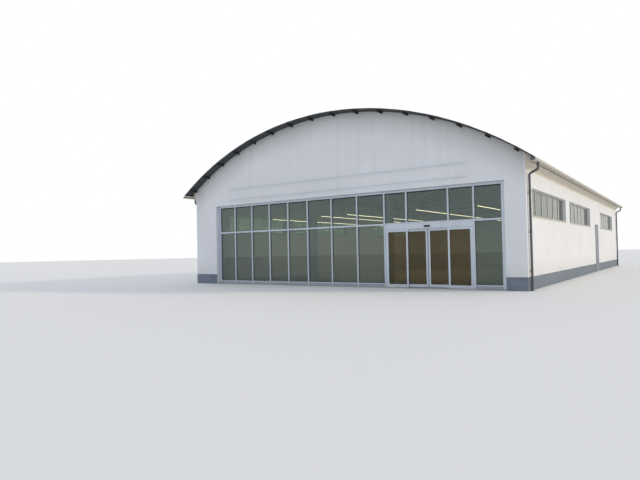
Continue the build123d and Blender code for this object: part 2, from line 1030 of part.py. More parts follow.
def side_door_handle():
    """A lever on its plate, on the rear leaf beside the meeting edge."""
    y = side_door_middle + side_meeting_gap / 2 + handle_plate_width
    x1 = x_side_frame + handle_plate_thickness
    plate = block(
        x_side_frame,
        x1,
        y - handle_plate_width / 2,
        y + handle_plate_width / 2,
        handle_height - handle_plate_height / 2,
        handle_height + handle_plate_height / 2,
    )
    x_lever = x_side_frame + handle_reach
    neck = rod_x(x1, x_lever, y, handle_height, handle_neck)
    lever = rod_y(x_lever, y - handle_heel, y + handle_length, handle_height, handle_bar)
    return [plate + neck + lever]


# Sign rails


def sign_rails():
    """Two bare rails on stand-offs over the glazing."""
    back = y_front - sign_standoff
    step = (sign_rail_right - sign_rail_left) / sign_standoffs
    solids = []
    for rise in sign_rail_rises:
        z = opening_head + rise
        half = sign_rail_size / 2
        face = back - sign_rail_size
        rail = block(sign_rail_left, sign_rail_right, face, back, z - half, z + half)
        for number in range(sign_standoffs):
            x = sign_rail_left + (number + 0.5) * step
            rail = rail + rod_y(x, back, y_front, z, sign_standoff_radius)
        solids.append(rail)
    return solids


# Pieces, by name

sidelite_frames, sidelite_glass = door_sidelites()
leaf_frame, leaf_glass, leaf_hangers = sliding_leaf()
front_side_leaf = side_leaf()

pieces = {
    "floor_slab": floor_slab(),
    "door_thresholds": door_thresholds(),
    "front_piers": front_piers(),
    "front_gable": front_gable(),
    "rear_gable_wall": rear_gable(),
    "side_walls_lower": side_walls_lower(),
    "side_wall_piers": side_wall_piers(),
    "side_wall_heads": side_wall_heads(),
    "side_door_lintel": side_door_lintel(),
    "gable_plinths": gable_plinths(),
    "side_plinths": side_plinths(),
    "roof_shell": roof_shell(),
    "purlins": full_purlins + corner_outriggers(),
    "roof_ribs": roof_ribs(),
    "rib_shoes": rib_shoes(),
    "tie_rods": tie_rods(),
    "tie_hangers": tie_hangers(),
    "eaves_cornices": right_cornice() + mirror_x(right_cornice()),
    "gutters": right_gutter() + mirror_x(right_gutter()),
    "gutter_brackets": right_gutter_brackets() + mirror_x(right_gutter_brackets()),
    "downpipes": right_downpipes() + mirror_x(right_downpipes()),
    "downpipe_clips": right_downpipe_clips() + mirror_x(right_downpipe_clips()),
    "front_columns": front_columns(),
    "front_beam": front_beam(),
    "curtain_mullions": curtain_mullions(),
    "curtain_transoms": curtain_transoms(),
    "curtain_base_panels": curtain_base_panels(),
    "curtain_glass": curtain_glass(),
    "door_jamb_posts": door_jamb_posts(),
    "door_header": door_header(),
    "door_track": door_track(),
    "door_sensor": door_sensor(),
    "door_sidelites": sidelite_frames,
    "sidelite_glass": sidelite_glass,
    "left_leaf_frame": leaf_frame,
    "left_leaf_glass": leaf_glass,
    "left_leaf_hangers": leaf_hangers,
    "right_leaf_frame": mirrored_leaf(leaf_frame),
    "right_leaf_glass": mirrored_leaf(leaf_glass),
    "right_leaf_hangers": mirrored_leaf(leaf_hangers),
    "side_window_frames": right_window_frames() + mirror_x(right_window_frames()),
    "side_window_glass": right_window_glass() + mirror_x(right_window_glass()),
    "side_window_sills": right_window_sills() + mirror_x(right_window_sills()),
    "side_door_frame": side_door_frame(),
    "side_door_hinges": side_door_hinges(),
    "side_leaf_front": front_side_leaf,
    "side_leaf_rear": side_mirror(front_side_leaf),
    "side_door_handle": side_door_handle(),
    "sign_rails": sign_rails(),
    "ceiling_lights": light_bars() + light_rods(),
}

os.makedirs("parts", exist_ok=True)
for name, solids in pieces.items():
    shape = Compound(children=[solid for piece in solids for solid in piece.solids()])
    export_step(shape, f"parts/{name}.step")
    print(name, len(shape.solids()), round(shape.volume / 1e9, 4), "m3")
print("sliding leaf travel", leaf_travel)
print("side hinge", x_hinge, front_hinge_line(), 2 * side_door_middle - front_hinge_line())
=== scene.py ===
import json
import math

import bmesh
import bpy
import numpy as np
from mathutils import Euler, Matrix, Vector


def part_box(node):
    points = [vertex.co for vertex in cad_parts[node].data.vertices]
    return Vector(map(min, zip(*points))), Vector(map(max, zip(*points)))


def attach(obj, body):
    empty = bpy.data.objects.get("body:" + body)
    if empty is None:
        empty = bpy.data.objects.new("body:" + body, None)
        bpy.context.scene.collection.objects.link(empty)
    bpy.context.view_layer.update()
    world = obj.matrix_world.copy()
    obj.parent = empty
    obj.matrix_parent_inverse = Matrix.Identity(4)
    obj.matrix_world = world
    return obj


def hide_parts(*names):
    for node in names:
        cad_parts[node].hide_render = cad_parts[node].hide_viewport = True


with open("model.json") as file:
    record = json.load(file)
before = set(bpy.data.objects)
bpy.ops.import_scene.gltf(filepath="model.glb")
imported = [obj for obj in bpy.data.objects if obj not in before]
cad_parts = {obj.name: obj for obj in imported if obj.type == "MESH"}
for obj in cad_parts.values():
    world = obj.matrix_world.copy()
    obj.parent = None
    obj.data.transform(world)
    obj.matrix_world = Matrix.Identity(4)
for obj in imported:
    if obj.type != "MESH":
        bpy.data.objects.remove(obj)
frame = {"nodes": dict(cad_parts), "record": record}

bl_info = {
    "name": "Arched Hall Dressing",
    "version": (1, 0, 0),
    "blender": (4, 5, 0),
    "location": "3D View > Sidebar > Hall",
    "description": "Roof sheets, gutters, trim, door fittings and finishes for an arched hall",
    "category": "Object",
}

X, Y, Z = np.eye(3)


# Reading the frame


def mesh_points(name):
    """All corner points of a CAD node, in metres."""
    mesh = frame["nodes"][name].data
    points = np.empty(len(mesh.vertices) * 3, np.float32)
    mesh.vertices.foreach_get("co", points)
    return points.reshape(-1, 3).astype(float)


def solids_of(name):
    """Low and high corners of each solid in a CAD node.

    Corners at one place share a number, and the smallest number spreads over the
    triangles until nothing changes, so each solid ends with a number of its own.
    """
    points = mesh_points(name)
    mesh = frame["nodes"][name].data
    mesh.calc_loop_triangles()
    corners = np.empty(len(mesh.loop_triangles) * 3, np.int32)
    mesh.loop_triangles.foreach_get("vertices", corners)
    same = np.unique(np.round(points, 5), axis=0, return_inverse=True)[1].ravel()
    triangles = same[corners].reshape(-1, 3)
    label = np.arange(same.max() + 1)
    while True:
        lower = label.copy()
        np.minimum.at(lower, triangles.ravel(), np.repeat(label[triangles].min(1), 3))
        if (lower == label).all():
            break
        label = lower
    group = label[same]
    keys = np.unique(group)
    low = np.array([points[group == key].min(0) for key in keys])
    high = np.array([points[group == key].max(0) for key in keys])
    return low, high


def roof_circle():
    """Centre height, underside radius, half angle and Y ends of the curved roof.

    An outer corner at x, lying a drop h under the crown, is on a circle of radius
    (x squared + h squared) / 2h. The underside is the least distance from its centre.
    """
    points = mesh_points("roof_shell")
    crown = points[:, 2].max()
    corner = points[points[:, 0].argmax()]
    drop = crown - corner[2]
    outer = (corner[0] ** 2 + drop**2) / (2 * drop)
    centre = crown - outer
    under = np.hypot(points[:, 0], points[:, 2] - centre).min()
    half_angle = math.atan2(corner[0], corner[2] - centre)
    return centre, under, half_angle, points[:, 1].min(), points[:, 1].max()


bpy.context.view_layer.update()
ROOF_CENTRE, ROOF_RADIUS, ROOF_HALF_ANGLE, ROOF_Y0, ROOF_Y1 = roof_circle()
FRONT_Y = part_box("front_gable")[0].y


# Colours and sizes that a user may change


def linear(code):
    """An sRGB hex colour as linear values: the 2.4 power curve, straight near black."""
    values = [int(code[start:start + 2], 16) / 255 for start in (1, 3, 5)]
    return tuple(v / 12.92 if v <= 0.04045 else ((v + 0.055) / 1.055) ** 2.4 for v in values)


def colour_value(label, code, note):
    return bpy.props.FloatVectorProperty(
        name=label, description=note, default=linear(code), subtype="COLOR", size=3, min=0, max=1
    )


def length_value(label, size, note):
    return bpy.props.FloatProperty(
        name=label, description=note, default=size, min=0, unit="LENGTH", subtype="DISTANCE"
    )


class HallColours(bpy.types.PropertyGroup):
    wall: colour_value("Wall paint", "#E8E9EC", "Masonry paint on the rendered walls")
    # This colour also paints the shade on the gables under the roof's edge.
    wall_stain_and_shade: colour_value("Wall stain", "#B9B7B0", "Rain marks and dust on the walls")
    plinth: colour_value("Plinth paint", "#78818E", "Paint on the band at the foot of the walls")
    cornice: colour_value("Cornice paint", "#DAD2C0", "Paint on the eaves cornices")
    sheet: colour_value("Roof sheet", "#9A9B98", "Weathered fibre cement")
    # This colour also paints the shadow lines where the sheets tuck under each other, and the darker
    # troughs.
    sheet_stain_and_shade: colour_value("Sheet stain", "#5E605C", "Lichen and soot on the fibre cement")
    # Painted shade: the roof sheets' undersides take this darker copy of the fibre cement's grey.
    soffit: colour_value("Sheet underside", "#474B50", "Soot on the underside of the roof sheets")
    purlin: colour_value("Purlin paint", "#232629", "Dark paint on the roof's purlins")
    rib: colour_value("Rib paint", "#8D9297", "Grey paint on the ribs and ties")
    gutter: colour_value("Gutter coating", "#B9B3A4", "Coil coating on the gutters")
    pipe: colour_value("Downpipe paint", "#55595E", "Slate-grey paint on the downpipes")
    frame: colour_value("Frame coating", "#C6D0DA", "Satin coating on the aluminium frames")
    window: colour_value("Window coating", "#E2E3DC", "Coating on the side windows' frames")
    glass: colour_value("Glass tint", "#9AACA8", "Body tint of the front's panes")
    window_glass: colour_value("Window glass tint", "#66775F", "Body tint of the side windows' panes")
    door_glass: colour_value("Door glass tint", "#A1A499", "Body tint of the sliding doors' panes")
    base_panel: colour_value("Base panel coating", "#A3ADB8", "Panels under the front's panes")
    rubber: colour_value("Gasket rubber", "#1B1E21", "Glazing gaskets and brushes")
    door: colour_value("Steel door coating", "#84898D", "Coating of the service door")
    floor: colour_value("Concrete", "#9B9890", "Power-floated concrete floor")
    column: colour_value("Column paint", "#D3D2C8", "Emulsion on the columns and the beam")
    sill: colour_value("Sill stone", "#CFCABC", "Pale stone of the window sills")
    lamp: colour_value("Lamp light", "#FFE3BC", "Warm light of the ceiling fittings")


class HallSizes(bpy.types.PropertyGroup):
    wave_pitch: length_value("Wave pitch", 0.177, "Width of one wave of the roof sheets")
    wave_depth: length_value("Wave depth", 0.046, "Height of the roof sheets' waves")
    sheet_thickness: length_value("Sheet thickness", 0.0065, "Thickness of the roof sheets")
    sheet_rows: bpy.props.IntProperty(
        name="Sheet rows", description="Sheets from eaves to eaves, an odd number", default=15, min=3
    )
    gasket_width: length_value("Gasket width", 0.016, "Rubber seen round each pane")
    gasket_height: length_value("Gasket height", 0.006, "How far the rubber stands off the pane")
    # The wider dark rubber over the uppermost panes is partly gasket and partly painted shadow under
    # the head bar.
    head_gasket_and_shadow: length_value("Head gasket", 0.050, "Dark rebate over the uppermost panes")
    cap_depth: length_value("Cover cap depth", 0.014, "Depth of the cover caps on the mullions")
    bead_radius: length_value("Gutter bead", 0.010, "Radius of the gutter's rolled rim")


# Building meshes


def grid_faces(rows, columns, wrap_columns=False, wrap_rows=False):
    """Quads between neighbouring points of a grid, numbered along each row."""
    row = np.arange(rows if wrap_rows else rows - 1)[:, None]
    column = np.arange(columns if wrap_columns else columns - 1)[None, :]
    below, after = (row + 1) % rows, (column + 1) % columns
    corners = [row * columns + column, row * columns + after]
    corners += [below * columns + after, below * columns + column]
    return np.stack(np.broadcast_arrays(*corners), -1).reshape(-1, 4)


def repeat_faces(faces, count, step):
    """The same faces for each of several equal sets of points."""
    shifts = (np.arange(count) * step)[:, None, None]
    return (np.asarray(faces)[None] + shifts).reshape(-1, np.asarray(faces).shape[-1])


def new_object(name, data):
    """An object in the scene's own collection."""
    made = bpy.data.objects.new(name, data)
    bpy.context.scene.collection.objects.link(made)
    return made


def piece(name, groups, *finishes, body="building", slot=None, smooth_angle=35):
    """One object from groups of (points, face arrays), on a body.

    The groups are joined as whole arrays, and faces are then turned to point outwards. A
    group may end with the number of each face's finish. The slot, the first finish's own
    or the nearest that the building has, is worked out but not used.
    """
    points, loops, sizes, marks = [], [], [], []
    base = 0
    for group_points, face_arrays, *mark in groups:
        group_points = np.asarray(group_points, float).reshape(-1, 3)
        for faces in face_arrays:
            loops.append((faces + base).ravel())
            sizes.append(np.full(len(faces), faces.shape[1]))
            marks.append(np.broadcast_to(mark[0] if mark else 0, len(faces)))
        points.append(group_points)
        base += len(group_points)
    points, loops = np.concatenate(points), np.concatenate(loops)
    sizes, marks = np.concatenate(sizes), np.concatenate(marks)
    mesh = bpy.data.meshes.new(name)
    mesh.vertices.add(len(points))
    mesh.vertices.foreach_set("co", points.astype(np.float32).ravel())
    mesh.loops.add(len(loops))
    mesh.loops.foreach_set("vertex_index", loops.astype(np.int32))
    mesh.polygons.add(len(sizes))
    starts = np.concatenate([[0], np.cumsum(sizes)[:-1]])
    mesh.polygons.foreach_set("loop_start", starts.astype(np.int32))
    mesh.polygons.foreach_set("material_index", marks.astype(np.int32))
    mesh.update(calc_edges=True)
    mesh.validate()
    turned_mesh = bmesh.new()
    turned_mesh.from_mesh(mesh)
    bmesh.ops.recalc_face_normals(turned_mesh, faces=turned_mesh.faces)
    turned_mesh.to_mesh(mesh)
    turned_mesh.free()
    mesh.polygons.foreach_set("use_smooth", np.ones(len(mesh.polygons), bool))
    mesh.set_sharp_from_angle(angle=math.radians(smooth_angle))
    for finish in finishes:
        mesh.materials.append(MATERIALS[finish])
    made = new_object(name, mesh)
    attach(made, body)
    slot = slot or NEAREST_SLOT.get(finishes[0], finishes[0])
    return made


def on_circle(angle):
    """Points at angles round the unit circle."""
    return np.stack([np.cos(angle), np.sin(angle)], -1)


def bars(profile, starts, ends, side, out):
    """Straight closed bars from start points to end points.

    Each corner is the end point + s * side + o * out, for the profile's (s, o) corners.
    The profile is one for all, or one for each bar.
    """
    starts, ends = np.atleast_2d(starts), np.atleast_2d(ends)
    profile = np.asarray(profile, float)
    profile = profile[None] if profile.ndim == 2 else profile
    count, corners = len(starts), profile.shape[1]
    offsets = profile[..., :1] * np.asarray(side) + profile[..., 1:] * np.asarray(out)
    points = np.stack([starts, ends], 1)[:, :, None, :] + offsets[:, None]
    ends_faces = np.stack([np.arange(corners)[::-1], np.arange(corners) + corners])
    faces = [grid_faces(2, corners, wrap_columns=True), ends_faces]
    return points, [repeat_faces(each, count, 2 * corners) for each in faces]


def turned(profile, centres, axis, across, sides=12):
    """Shapes turned on a lathe, closed with flat ends.

    Each point is centre + h * axis + r * (cos a * across + sin a * the third direction),
    for the profile's (r, h) steps and for angles a all round.
    """
    profile, centres = np.asarray(profile, float), np.atleast_2d(centres)
    ring = on_circle(np.arange(sides) / sides * math.tau) @ [across, np.cross(axis, across)]
    shape = profile[:, 1, None, None] * axis + profile[:, 0, None, None] * ring
    points = centres[:, None, None, :] + shape
    steps = len(profile)
    caps = np.stack([np.arange(sides)[::-1], np.arange(sides) + (steps - 1) * sides])
    faces = [grid_faces(steps, sides, wrap_columns=True), caps]
    return points, [repeat_faces(each, len(centres), steps * sides) for each in faces]


def mirrored(*right):
    """A section that is the same on both sides, from its right half's (s, o) corners."""
    values = np.broadcast_arrays(*[value for corner in right for value in corner])
    right = np.stack(values, -1).reshape(*values[0].shape, -1, 2)
    return np.concatenate([right[..., ::-1, :] * [-1, 1], right], -2)


def plate_profile(width, depth, chamfer):
    """A flat bar's section, its back at 0 and its two front edges cut off."""
    half = width / 2
    return mirrored((half - chamfer, depth), (half, depth - chamfer), (half, 0))


def cap_profile(width, depth):
    """A cover cap's section: chamfered edges and a shadow groove along the middle."""
    half, groove, chamfer = width / 2, 0.006, 0.004
    return mirrored((groove, depth / 2), (groove, depth), (half - chamfer, depth),
                    (half, depth - chamfer), (half, 0))


def pane_rings(low, high, thin, widths, height):
    """Closed rubber rings round both faces of panes.

    Each ring's corner is the pane's corner, moved inwards by the profile's inset times
    that side's width, and off the face by the profile's height, with mitred corners.
    widths are for the low and high sides of the two flat axes.
    """
    flat = [axis for axis in range(3) if axis != thin]
    inset = np.array([0.0, 0.0, 0.75, 1.0])
    lift = np.array([0.0, 1.0, 1.0, 0.0]) * height
    signs = np.array([[0, 0], [1, 0], [1, 1], [0, 1]])
    count = len(low)
    points = np.zeros((count, 2, 4, 4, 3))
    for number, axis in enumerate(flat):
        at_high = signs[:, number] == 1
        edge = np.where(at_high, high[:, axis, None], low[:, axis, None])
        inward = np.where(at_high, -widths[number][1], widths[number][0])
        points[..., axis] = edge[:, None, :, None] + inward[None, None, :, None] * inset
    faces_at = np.stack([low[:, thin], high[:, thin]], 1)
    away = np.array([-1.0, 1.0])
    points[..., thin] = faces_at[:, :, None, None] + away[None, :, None, None] * lift
    ring = grid_faces(4, 4, wrap_columns=True, wrap_rows=True)
    return points, [repeat_faces(ring, count * 2, 4 * 4)]


# Materials


def node(tree, kind, inputs=(), **settings):
    """Adds a node and gives its outputs.

    Inputs are values or links, listed in the node's own order or named.
    """
    made = tree.nodes.new("ShaderNode" + kind)
    for key, value in settings.items():
        setattr(made, key, value)
    for key, value in inputs.items() if isinstance(inputs, dict) else enumerate(inputs):
        if isinstance(value, bpy.types.NodeSocket):
            tree.links.new(value, made.inputs[key])
        else:
            made.inputs[key].default_value = value
    return made.outputs


def new_tree(name):
    """An empty material, its node tree and its Object coordinates."""
    material = bpy.data.materials.new(name)
    material.use_nodes = True
    tree = material.node_tree
    tree.nodes.clear()
    return material, tree, node(tree, "TexCoord")["Object"]


def close_tree(tree, sockets):
    """The Principled shader with these inputs, on the material's output."""
    shader = node(tree, "BsdfPrincipled", sockets)
    node(tree, "OutputMaterial", {"Surface": shader[0]})


def cloudy(tree, vector, size, detail=3.0, stretch=(1, 1, 1)):
    """A pattern whose blobs are about a size in metres, longer along stretched axes."""
    scale = [1 / (size * part) for part in stretch]
    mapped = node(tree, "Mapping", {"Vector": vector, "Scale": scale})[0]
    return node(tree, "TexNoise", {"Vector": mapped, "Scale": 1.0, "Detail": detail})["Fac"]


def rgba(colour, shade=1.0):
    return tuple(channel * shade for channel in colour) + (1.0,)


def coated(name, base, mark, patch, grain, bump, rough, metallic=0.0, amount=0.5,
           stretch=(1, 1, 1), coat=0.0):
    """A coated or cast surface: soft patches of a second colour, and a fine grain.

    patch and grain are sizes in metres; bump is the grain's height in metres.
    """
    material, tree, place = new_tree(name)
    cloud = cloudy(tree, place, patch, 4.0, stretch)
    patches = node(tree, "MapRange", (cloud, 0.40, 0.70, 0.0, amount))[0]
    fine = cloudy(tree, place, grain, 2.0)
    sockets = {
        "Base Color": node(tree, "Mix", {0: patches, 6: base, 7: mark}, data_type="RGBA")[2],
        "Roughness": node(tree, "MapRange", (fine, 0.3, 0.7, rough - 0.06, rough + 0.06))[0],
        "Metallic": metallic,
        "Normal": node(tree, "Bump", {"Height": fine, "Distance": bump, "Strength": 0.6})[0],
    }
    if coat:
        sockets.update({"Coat Weight": coat, "Coat Roughness": 0.15})
    close_tree(tree, sockets)
    return material


def painted_render(colours):
    """Masonry paint on sand and cement render: matt, trowelled by hand, washed by rain.

    The eye gets a chalky white with slow unevenness a few metres wide, thin grey runs,
    dust splashed up over the foot, and darkening on the gables under the roof's edge,
    part grime and part painted shade. The real grain is 2 mm and is drawn 45 mm coarse.
    """
    material, tree, place = new_tree("painted_render")
    across, _, height = node(tree, "SeparateXYZ", (place,))
    flat = (place, (1, 0, 1), (0, 0, -ROOF_CENTRE))
    from_centre = node(tree, "VectorMath", flat, operation="MULTIPLY_ADD")[0]
    radius = node(tree, "VectorMath", (from_centre,), operation="LENGTH")["Value"]
    # Painted shade with some grime: the gables darken towards the roof's edge, from 1.3 m under it,
    # as if shaded by the overhang.
    shade_depth, side_face = 1.3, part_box("side_walls_lower")[1].x
    depth = (radius, ROOF_RADIUS - shade_depth, ROOF_RADIUS - 0.1, 0.0, 0.5)
    aside = node(tree, "Math", (across,), operation="ABSOLUTE")[0]
    soot_and_shade = (node(tree, "MapRange", depth)[0],
            node(tree, "MapRange", (aside, side_face - 0.10, side_face - 0.02, 1.0, 0.0))[0])
    slow = node(tree, "MapRange", (cloudy(tree, place, 2.6, 5.0), 0.35, 0.75, 0.0, 0.16))[0]
    thin_runs = cloudy(tree, place, 0.30, 3.0, (1, 1, 14))
    runs = (node(tree, "MapRange", (thin_runs, 0.50, 0.80, 0.0, 0.14))[0],
            node(tree, "MapRange", (height, 2.4, 5.2, 0.15, 1.0))[0])
    splash = (node(tree, "MapRange", (height, 0.55, 1.25, 0.38, 0.0))[0],
              cloudy(tree, place, 0.5, 5.0))
    stains_and_shade = slow
    for part in (runs, splash, soot_and_shade):
        stains_and_shade = node(tree, "Math", (*part, stains_and_shade), operation="MULTIPLY_ADD")[0]
    paints = {0: stains_and_shade, 6: rgba(colours.wall), 7: rgba(colours.wall_stain_and_shade)}
    grain, trowel = cloudy(tree, place, 0.045, 3.0), cloudy(tree, place, 0.6, 2.0)
    relief = node(tree, "Math", (trowel, 3.0, grain), operation="MULTIPLY_ADD")[0]
    close_tree(tree, {
        "Base Color": node(tree, "Mix", paints, data_type="RGBA")[2],
        "Roughness": node(tree, "MapRange", (grain, 0.3, 0.7, 0.80, 0.92))[0],
        "Normal": node(tree, "Bump", {"Height": relief, "Distance": 0.004, "Strength": 0.5})[0],
    })
    return material


def fibre_cement(colours, sizes):
    """Corrugated fibre cement, pressed and cured: matt grey with lichen and soot.

    The eye gets sheets of slightly different greys, streaks down the slope, darker bands
    along the troughs of the waves, and dark lines along each sheet's top and side edges,
    where one sheet tucks under the next, that are part dirt and part painted shadow. The
    real lines are 10 mm wide and are drawn 45 mm wide. s is the distance down the curve
    from the crown, and a tile's place is its row each way from the crown, its column along
    Y and its side.
    """
    material, tree, place = new_tree("fibre_cement")
    x, y, z = node(tree, "SeparateXYZ", (place,))
    rise = node(tree, "Math", (z, ROOF_CENTRE), operation="SUBTRACT")[0]
    angle = node(tree, "Math", (x, rise), operation="ARCTAN2")[0]
    s = node(tree, "Math", (angle, ROOF_RADIUS), operation="MULTIPLY")[0]
    row_length = 2 * ROOF_HALF_ANGLE * ROOF_RADIUS / sizes.sheet_rows
    waves_in_a_sheet = 6
    sheet_width = sizes.wave_pitch * waves_in_a_sheet
    down = node(tree, "Math", (s,), operation="ABSOLUTE")[0]
    row = node(tree, "Math", (down, 1 / row_length, 0.5), operation="MULTIPLY_ADD")[0]
    column = node(tree, "Math", (y, 1 / sheet_width), operation="MULTIPLY")[0]
    side = node(tree, "Math", (s,), operation="SIGN")[0]
    tile = node(tree, "CombineXYZ", (row, column, side))[0]
    sheet = node(tree, "VectorMath", (tile,), operation="FLOOR")[0]
    own = node(tree, "TexWhiteNoise", {"Vector": sheet})["Value"]
    within = node(tree, "VectorMath", (tile,), operation="FRACTION")[0]
    row_part, column_part, _ = node(tree, "SeparateXYZ", (within,))
    line = 0.045
    lap, edge = line / row_length, line / sheet_width
    turn = node(tree, "Math", (y, math.tau / sizes.wave_pitch), operation="MULTIPLY")[0]
    wave = node(tree, "Math", (turn,), operation="COSINE")[0]
    slope = node(tree, "CombineXYZ", (s, y, 0.0))[0]
    streaks = cloudy(tree, slope, 0.16, 4.0, (9, 1, 1))
    cloud = cloudy(tree, slope, 1.8, 5.0)
    # The lines at each sheet's top and side edges are part dirt and part painted shadow; the troughs
    # of the waves are made darker.
    laps, edges, valleys, streaks, cloud, own = [
        node(tree, "MapRange", parts)[0] for parts in (
            (row_part, lap, 2 * lap, 0.85, 0.0), (column_part, edge, 1.6 * edge, 0.6, 0.0),
            (wave, 0.2, 1.0, 0.0, 0.45), (streaks, 0.45, 0.75, 0.0, 0.6),
            (cloud, 0.40, 0.75, 0.0, 0.35), (own, 0.0, 1.0, -0.12, 0.16))]
    stain_and_shade = node(tree, "Math", (streaks, cloud), operation="ADD")[0]
    for mark in (laps, edges, valleys):
        stain_and_shade = node(tree, "Math", (stain_and_shade, mark), operation="MAXIMUM")[0]
    held = node(tree, "Math", (stain_and_shade, own), operation="ADD", use_clamp=True)[0]
    greys = {0: held, 6: rgba(colours.sheet), 7: rgba(colours.sheet_stain_and_shade)}
    pits = cloudy(tree, place, 0.02, 3.0)
    close_tree(tree, {
        "Base Color": node(tree, "Mix", greys, data_type="RGBA")[2],
        "Roughness": 0.86,
        "Normal": node(tree, "Bump", {"Height": pits, "Distance": 0.002, "Strength": 0.5})[0],
    })
    return material


def tinted_glass(name, tint, mirror):
    """Solar-control float glass: flat, clear and tinted, with a thin film of dust.

    The coating gives the eye stronger, slightly coloured reflections and a dim view through.
    The dust is in the roughness only, in patches 0.7 m wide.
    """
    material, tree, place = new_tree(name)
    dust = (cloudy(tree, place, 0.7, 4.0), 0.45, 0.80, 0.0, 0.015)
    wave = {"Height": cloudy(tree, place, 1.1, 0.0), "Distance": 0.002, "Strength": 0.2}
    close_tree(tree, {
        "Base Color": rgba(tint),
        "Roughness": node(tree, "MapRange", dust)[0],
        "IOR": 1.85,
        "Specular Tint": rgba(linear(mirror)),
        "Transmission Weight": 1.0,
        "Normal": node(tree, "Bump", wave)[0],
    })
    return material


def coated_aluminium(name, colour):
    """Powder-coated aluminium extrusions: smooth, satin, with faint dust in streaks.

    The eye gets an even pale colour with soft highlights. The coating's orange peel is
    under 1 mm and is drawn 12 mm coarse.
    """
    return coated(name, rgba(colour), rgba(colour, 0.80), 0.5, 0.012,
                  0.0006, 0.38, metallic=0.35, amount=0.45, stretch=(1, 1, 8), coat=0.2)


def lamp_diffuser(colours):
    """Opal acrylic over lit tubes: an even warm glow, a little dimmer toward the joints."""
    material, tree, place = new_tree("lit_acrylic")
    tube_length = 1.5
    along = node(tree, "SeparateXYZ", (place,))[1]
    tubes = node(tree, "Math", (along, 1 / tube_length), operation="MULTIPLY")[0]
    part = node(tree, "Math", (tubes,), operation="FRACT")[0]
    close_tree(tree, {
        "Base Color": rgba(colours.lamp), "Roughness": 0.4, "Emission Color": rgba(colours.lamp),
        "Emission Strength": node(tree, "MapRange", (part, 0.0, 0.04, 3.0, 4.8))[0],
    })
    return material


# Finishes that are coated or cast. Each has its material's name, a base colour of its own or
# of HallColours, a second colour for the patches or its share of the first, and what coated()
# takes.
COATINGS = {
    # Masonry paint on a cement plinth: matt, scuffed, splashed with dust near the ground.
    "plinth_render": ("plinth_paint", "plinth", 0.72, dict(
        patch=0.45, grain=0.035, bump=0.003, rough=0.82, amount=0.75, stretch=(1, 1, 0.6))),
    # Power-floated concrete: smooth and faintly cloudy, with trowel marks half a metre wide.
    "concrete": ("floated_concrete", "floor", 0.75, dict(
        patch=0.9, grain=0.05, bump=0.001, rough=0.45, amount=0.6)),
    # Emulsion on concrete columns: matt with slight shading from the formwork.
    "column_paint": ("emulsion_paint", "column", 0.86, dict(
        patch=0.8, grain=0.04, bump=0.001, rough=0.8)),
    # Sawn limestone: pale, with cloudy bedding across the slab and a fine open grain.
    "sill_stone": ("limestone", "sill", 0.7, dict(
        patch=0.25, grain=0.02, bump=0.0015, rough=0.7, amount=0.7, stretch=(1, 3, 0.4))),
    # The roof's sheets from below: a darker copy of the fibre cement, painted shade for the
    # underside, with faint mottling.
    "sooty_fibre_cement": ("sooty_fibre_cement", "soffit", 0.7, dict(
        patch=0.5, grain=0.02, bump=0.001, rough=0.8, amount=0.6)),
    # Oil paint on rolled steel: near black, half matt, greyed by dust in patches.
    "purlin_steel": ("painted_steel_dark", "purlin", "#454542", dict(
        patch=0.35, grain=0.02, bump=0.001, rough=0.6, amount=0.6)),
    # Grey paint on rolled steel: satin, in long brush strokes.
    "rib_steel": ("painted_steel_grey", "rib", 0.7, dict(
        patch=0.6, grain=0.02, bump=0.001, rough=0.5, stretch=(4, 1, 1))),
    # Coil-coated sheet folded to a gutter: satin, with dirt runs down its outer face.
    "gutter_metal": ("coil_coated_sheet", "gutter", 0.62, dict(
        patch=0.22, grain=0.02, bump=0.0006, rough=0.42, amount=0.7, stretch=(1, 1, 6))),
    # Smooth cream paint on the eaves' fascia: matt, with rain runs and dust under the gutter.
    "cornice_paint": ("cornice_paint", "cornice", 0.74, dict(
        patch=0.35, grain=0.03, bump=0.001, rough=0.78, stretch=(1, 1, 5))),
    # Painted pipe: slate grey, half matt, with rain runs down its length.
    "downpipe_metal": ("painted_pipe", "pipe", 0.55, dict(
        patch=0.12, grain=0.015, bump=0.0008, rough=0.48, amount=0.7, stretch=(1, 1, 9))),
    # Powder-coated steel sheet: fine orange peel, greyed by hands and dust.
    "door_steel": ("powder_coated_steel", "door", 0.72, dict(
        patch=0.4, grain=0.012, bump=0.0008, rough=0.5, amount=0.6, stretch=(1, 1, 3))),
    # Brushed stainless steel: bright, with the brushing in fine level lines.
    "hinge_steel": ("brushed_stainless", "#C4C4C2", "#AAAAA8", dict(
        patch=0.02, grain=0.004, bump=0.0003, rough=0.32, metallic=1.0, amount=0.7,
        stretch=(6, 6, 0.3))),
    # Moulded ABS: black and glossy, with a little dust.
    "black_cover": ("moulded_abs", "#1D1D1E", "#383838", dict(
        patch=0.08, grain=0.01, bump=0.0002, rough=0.22, amount=0.6)),
    # Stove-enamelled steel tray: white and satin.
    "light_housing": ("enamelled_tray", "#E5E5DF", "#CBCBC5", dict(
        patch=0.4, grain=0.02, bump=0.0004, rough=0.4)),
    # EPDM rubber: black, matt, bloomed slightly grey by weather.
    "rubber": ("epdm_rubber", "rubber", "#353537", dict(
        patch=0.05, grain=0.006, bump=0.0005, rough=0.7, amount=0.6)),
    # Galvanised steel: dull grey with a spangle, drawn 20 mm wide.
    "galvanised": ("galvanised_steel", "#ADAFB1", "#898B8E", dict(
        patch=0.02, grain=0.01, bump=0.0003, rough=0.5, metallic=0.8, amount=0.8)),
    # Sand and cement mortar: rough, pale grey.
    "mortar": ("cement_mortar", "#A2A09B", "#817E7C", dict(
        patch=0.2, grain=0.015, bump=0.003, rough=0.9, amount=0.7)),
}
MATERIALS = {}
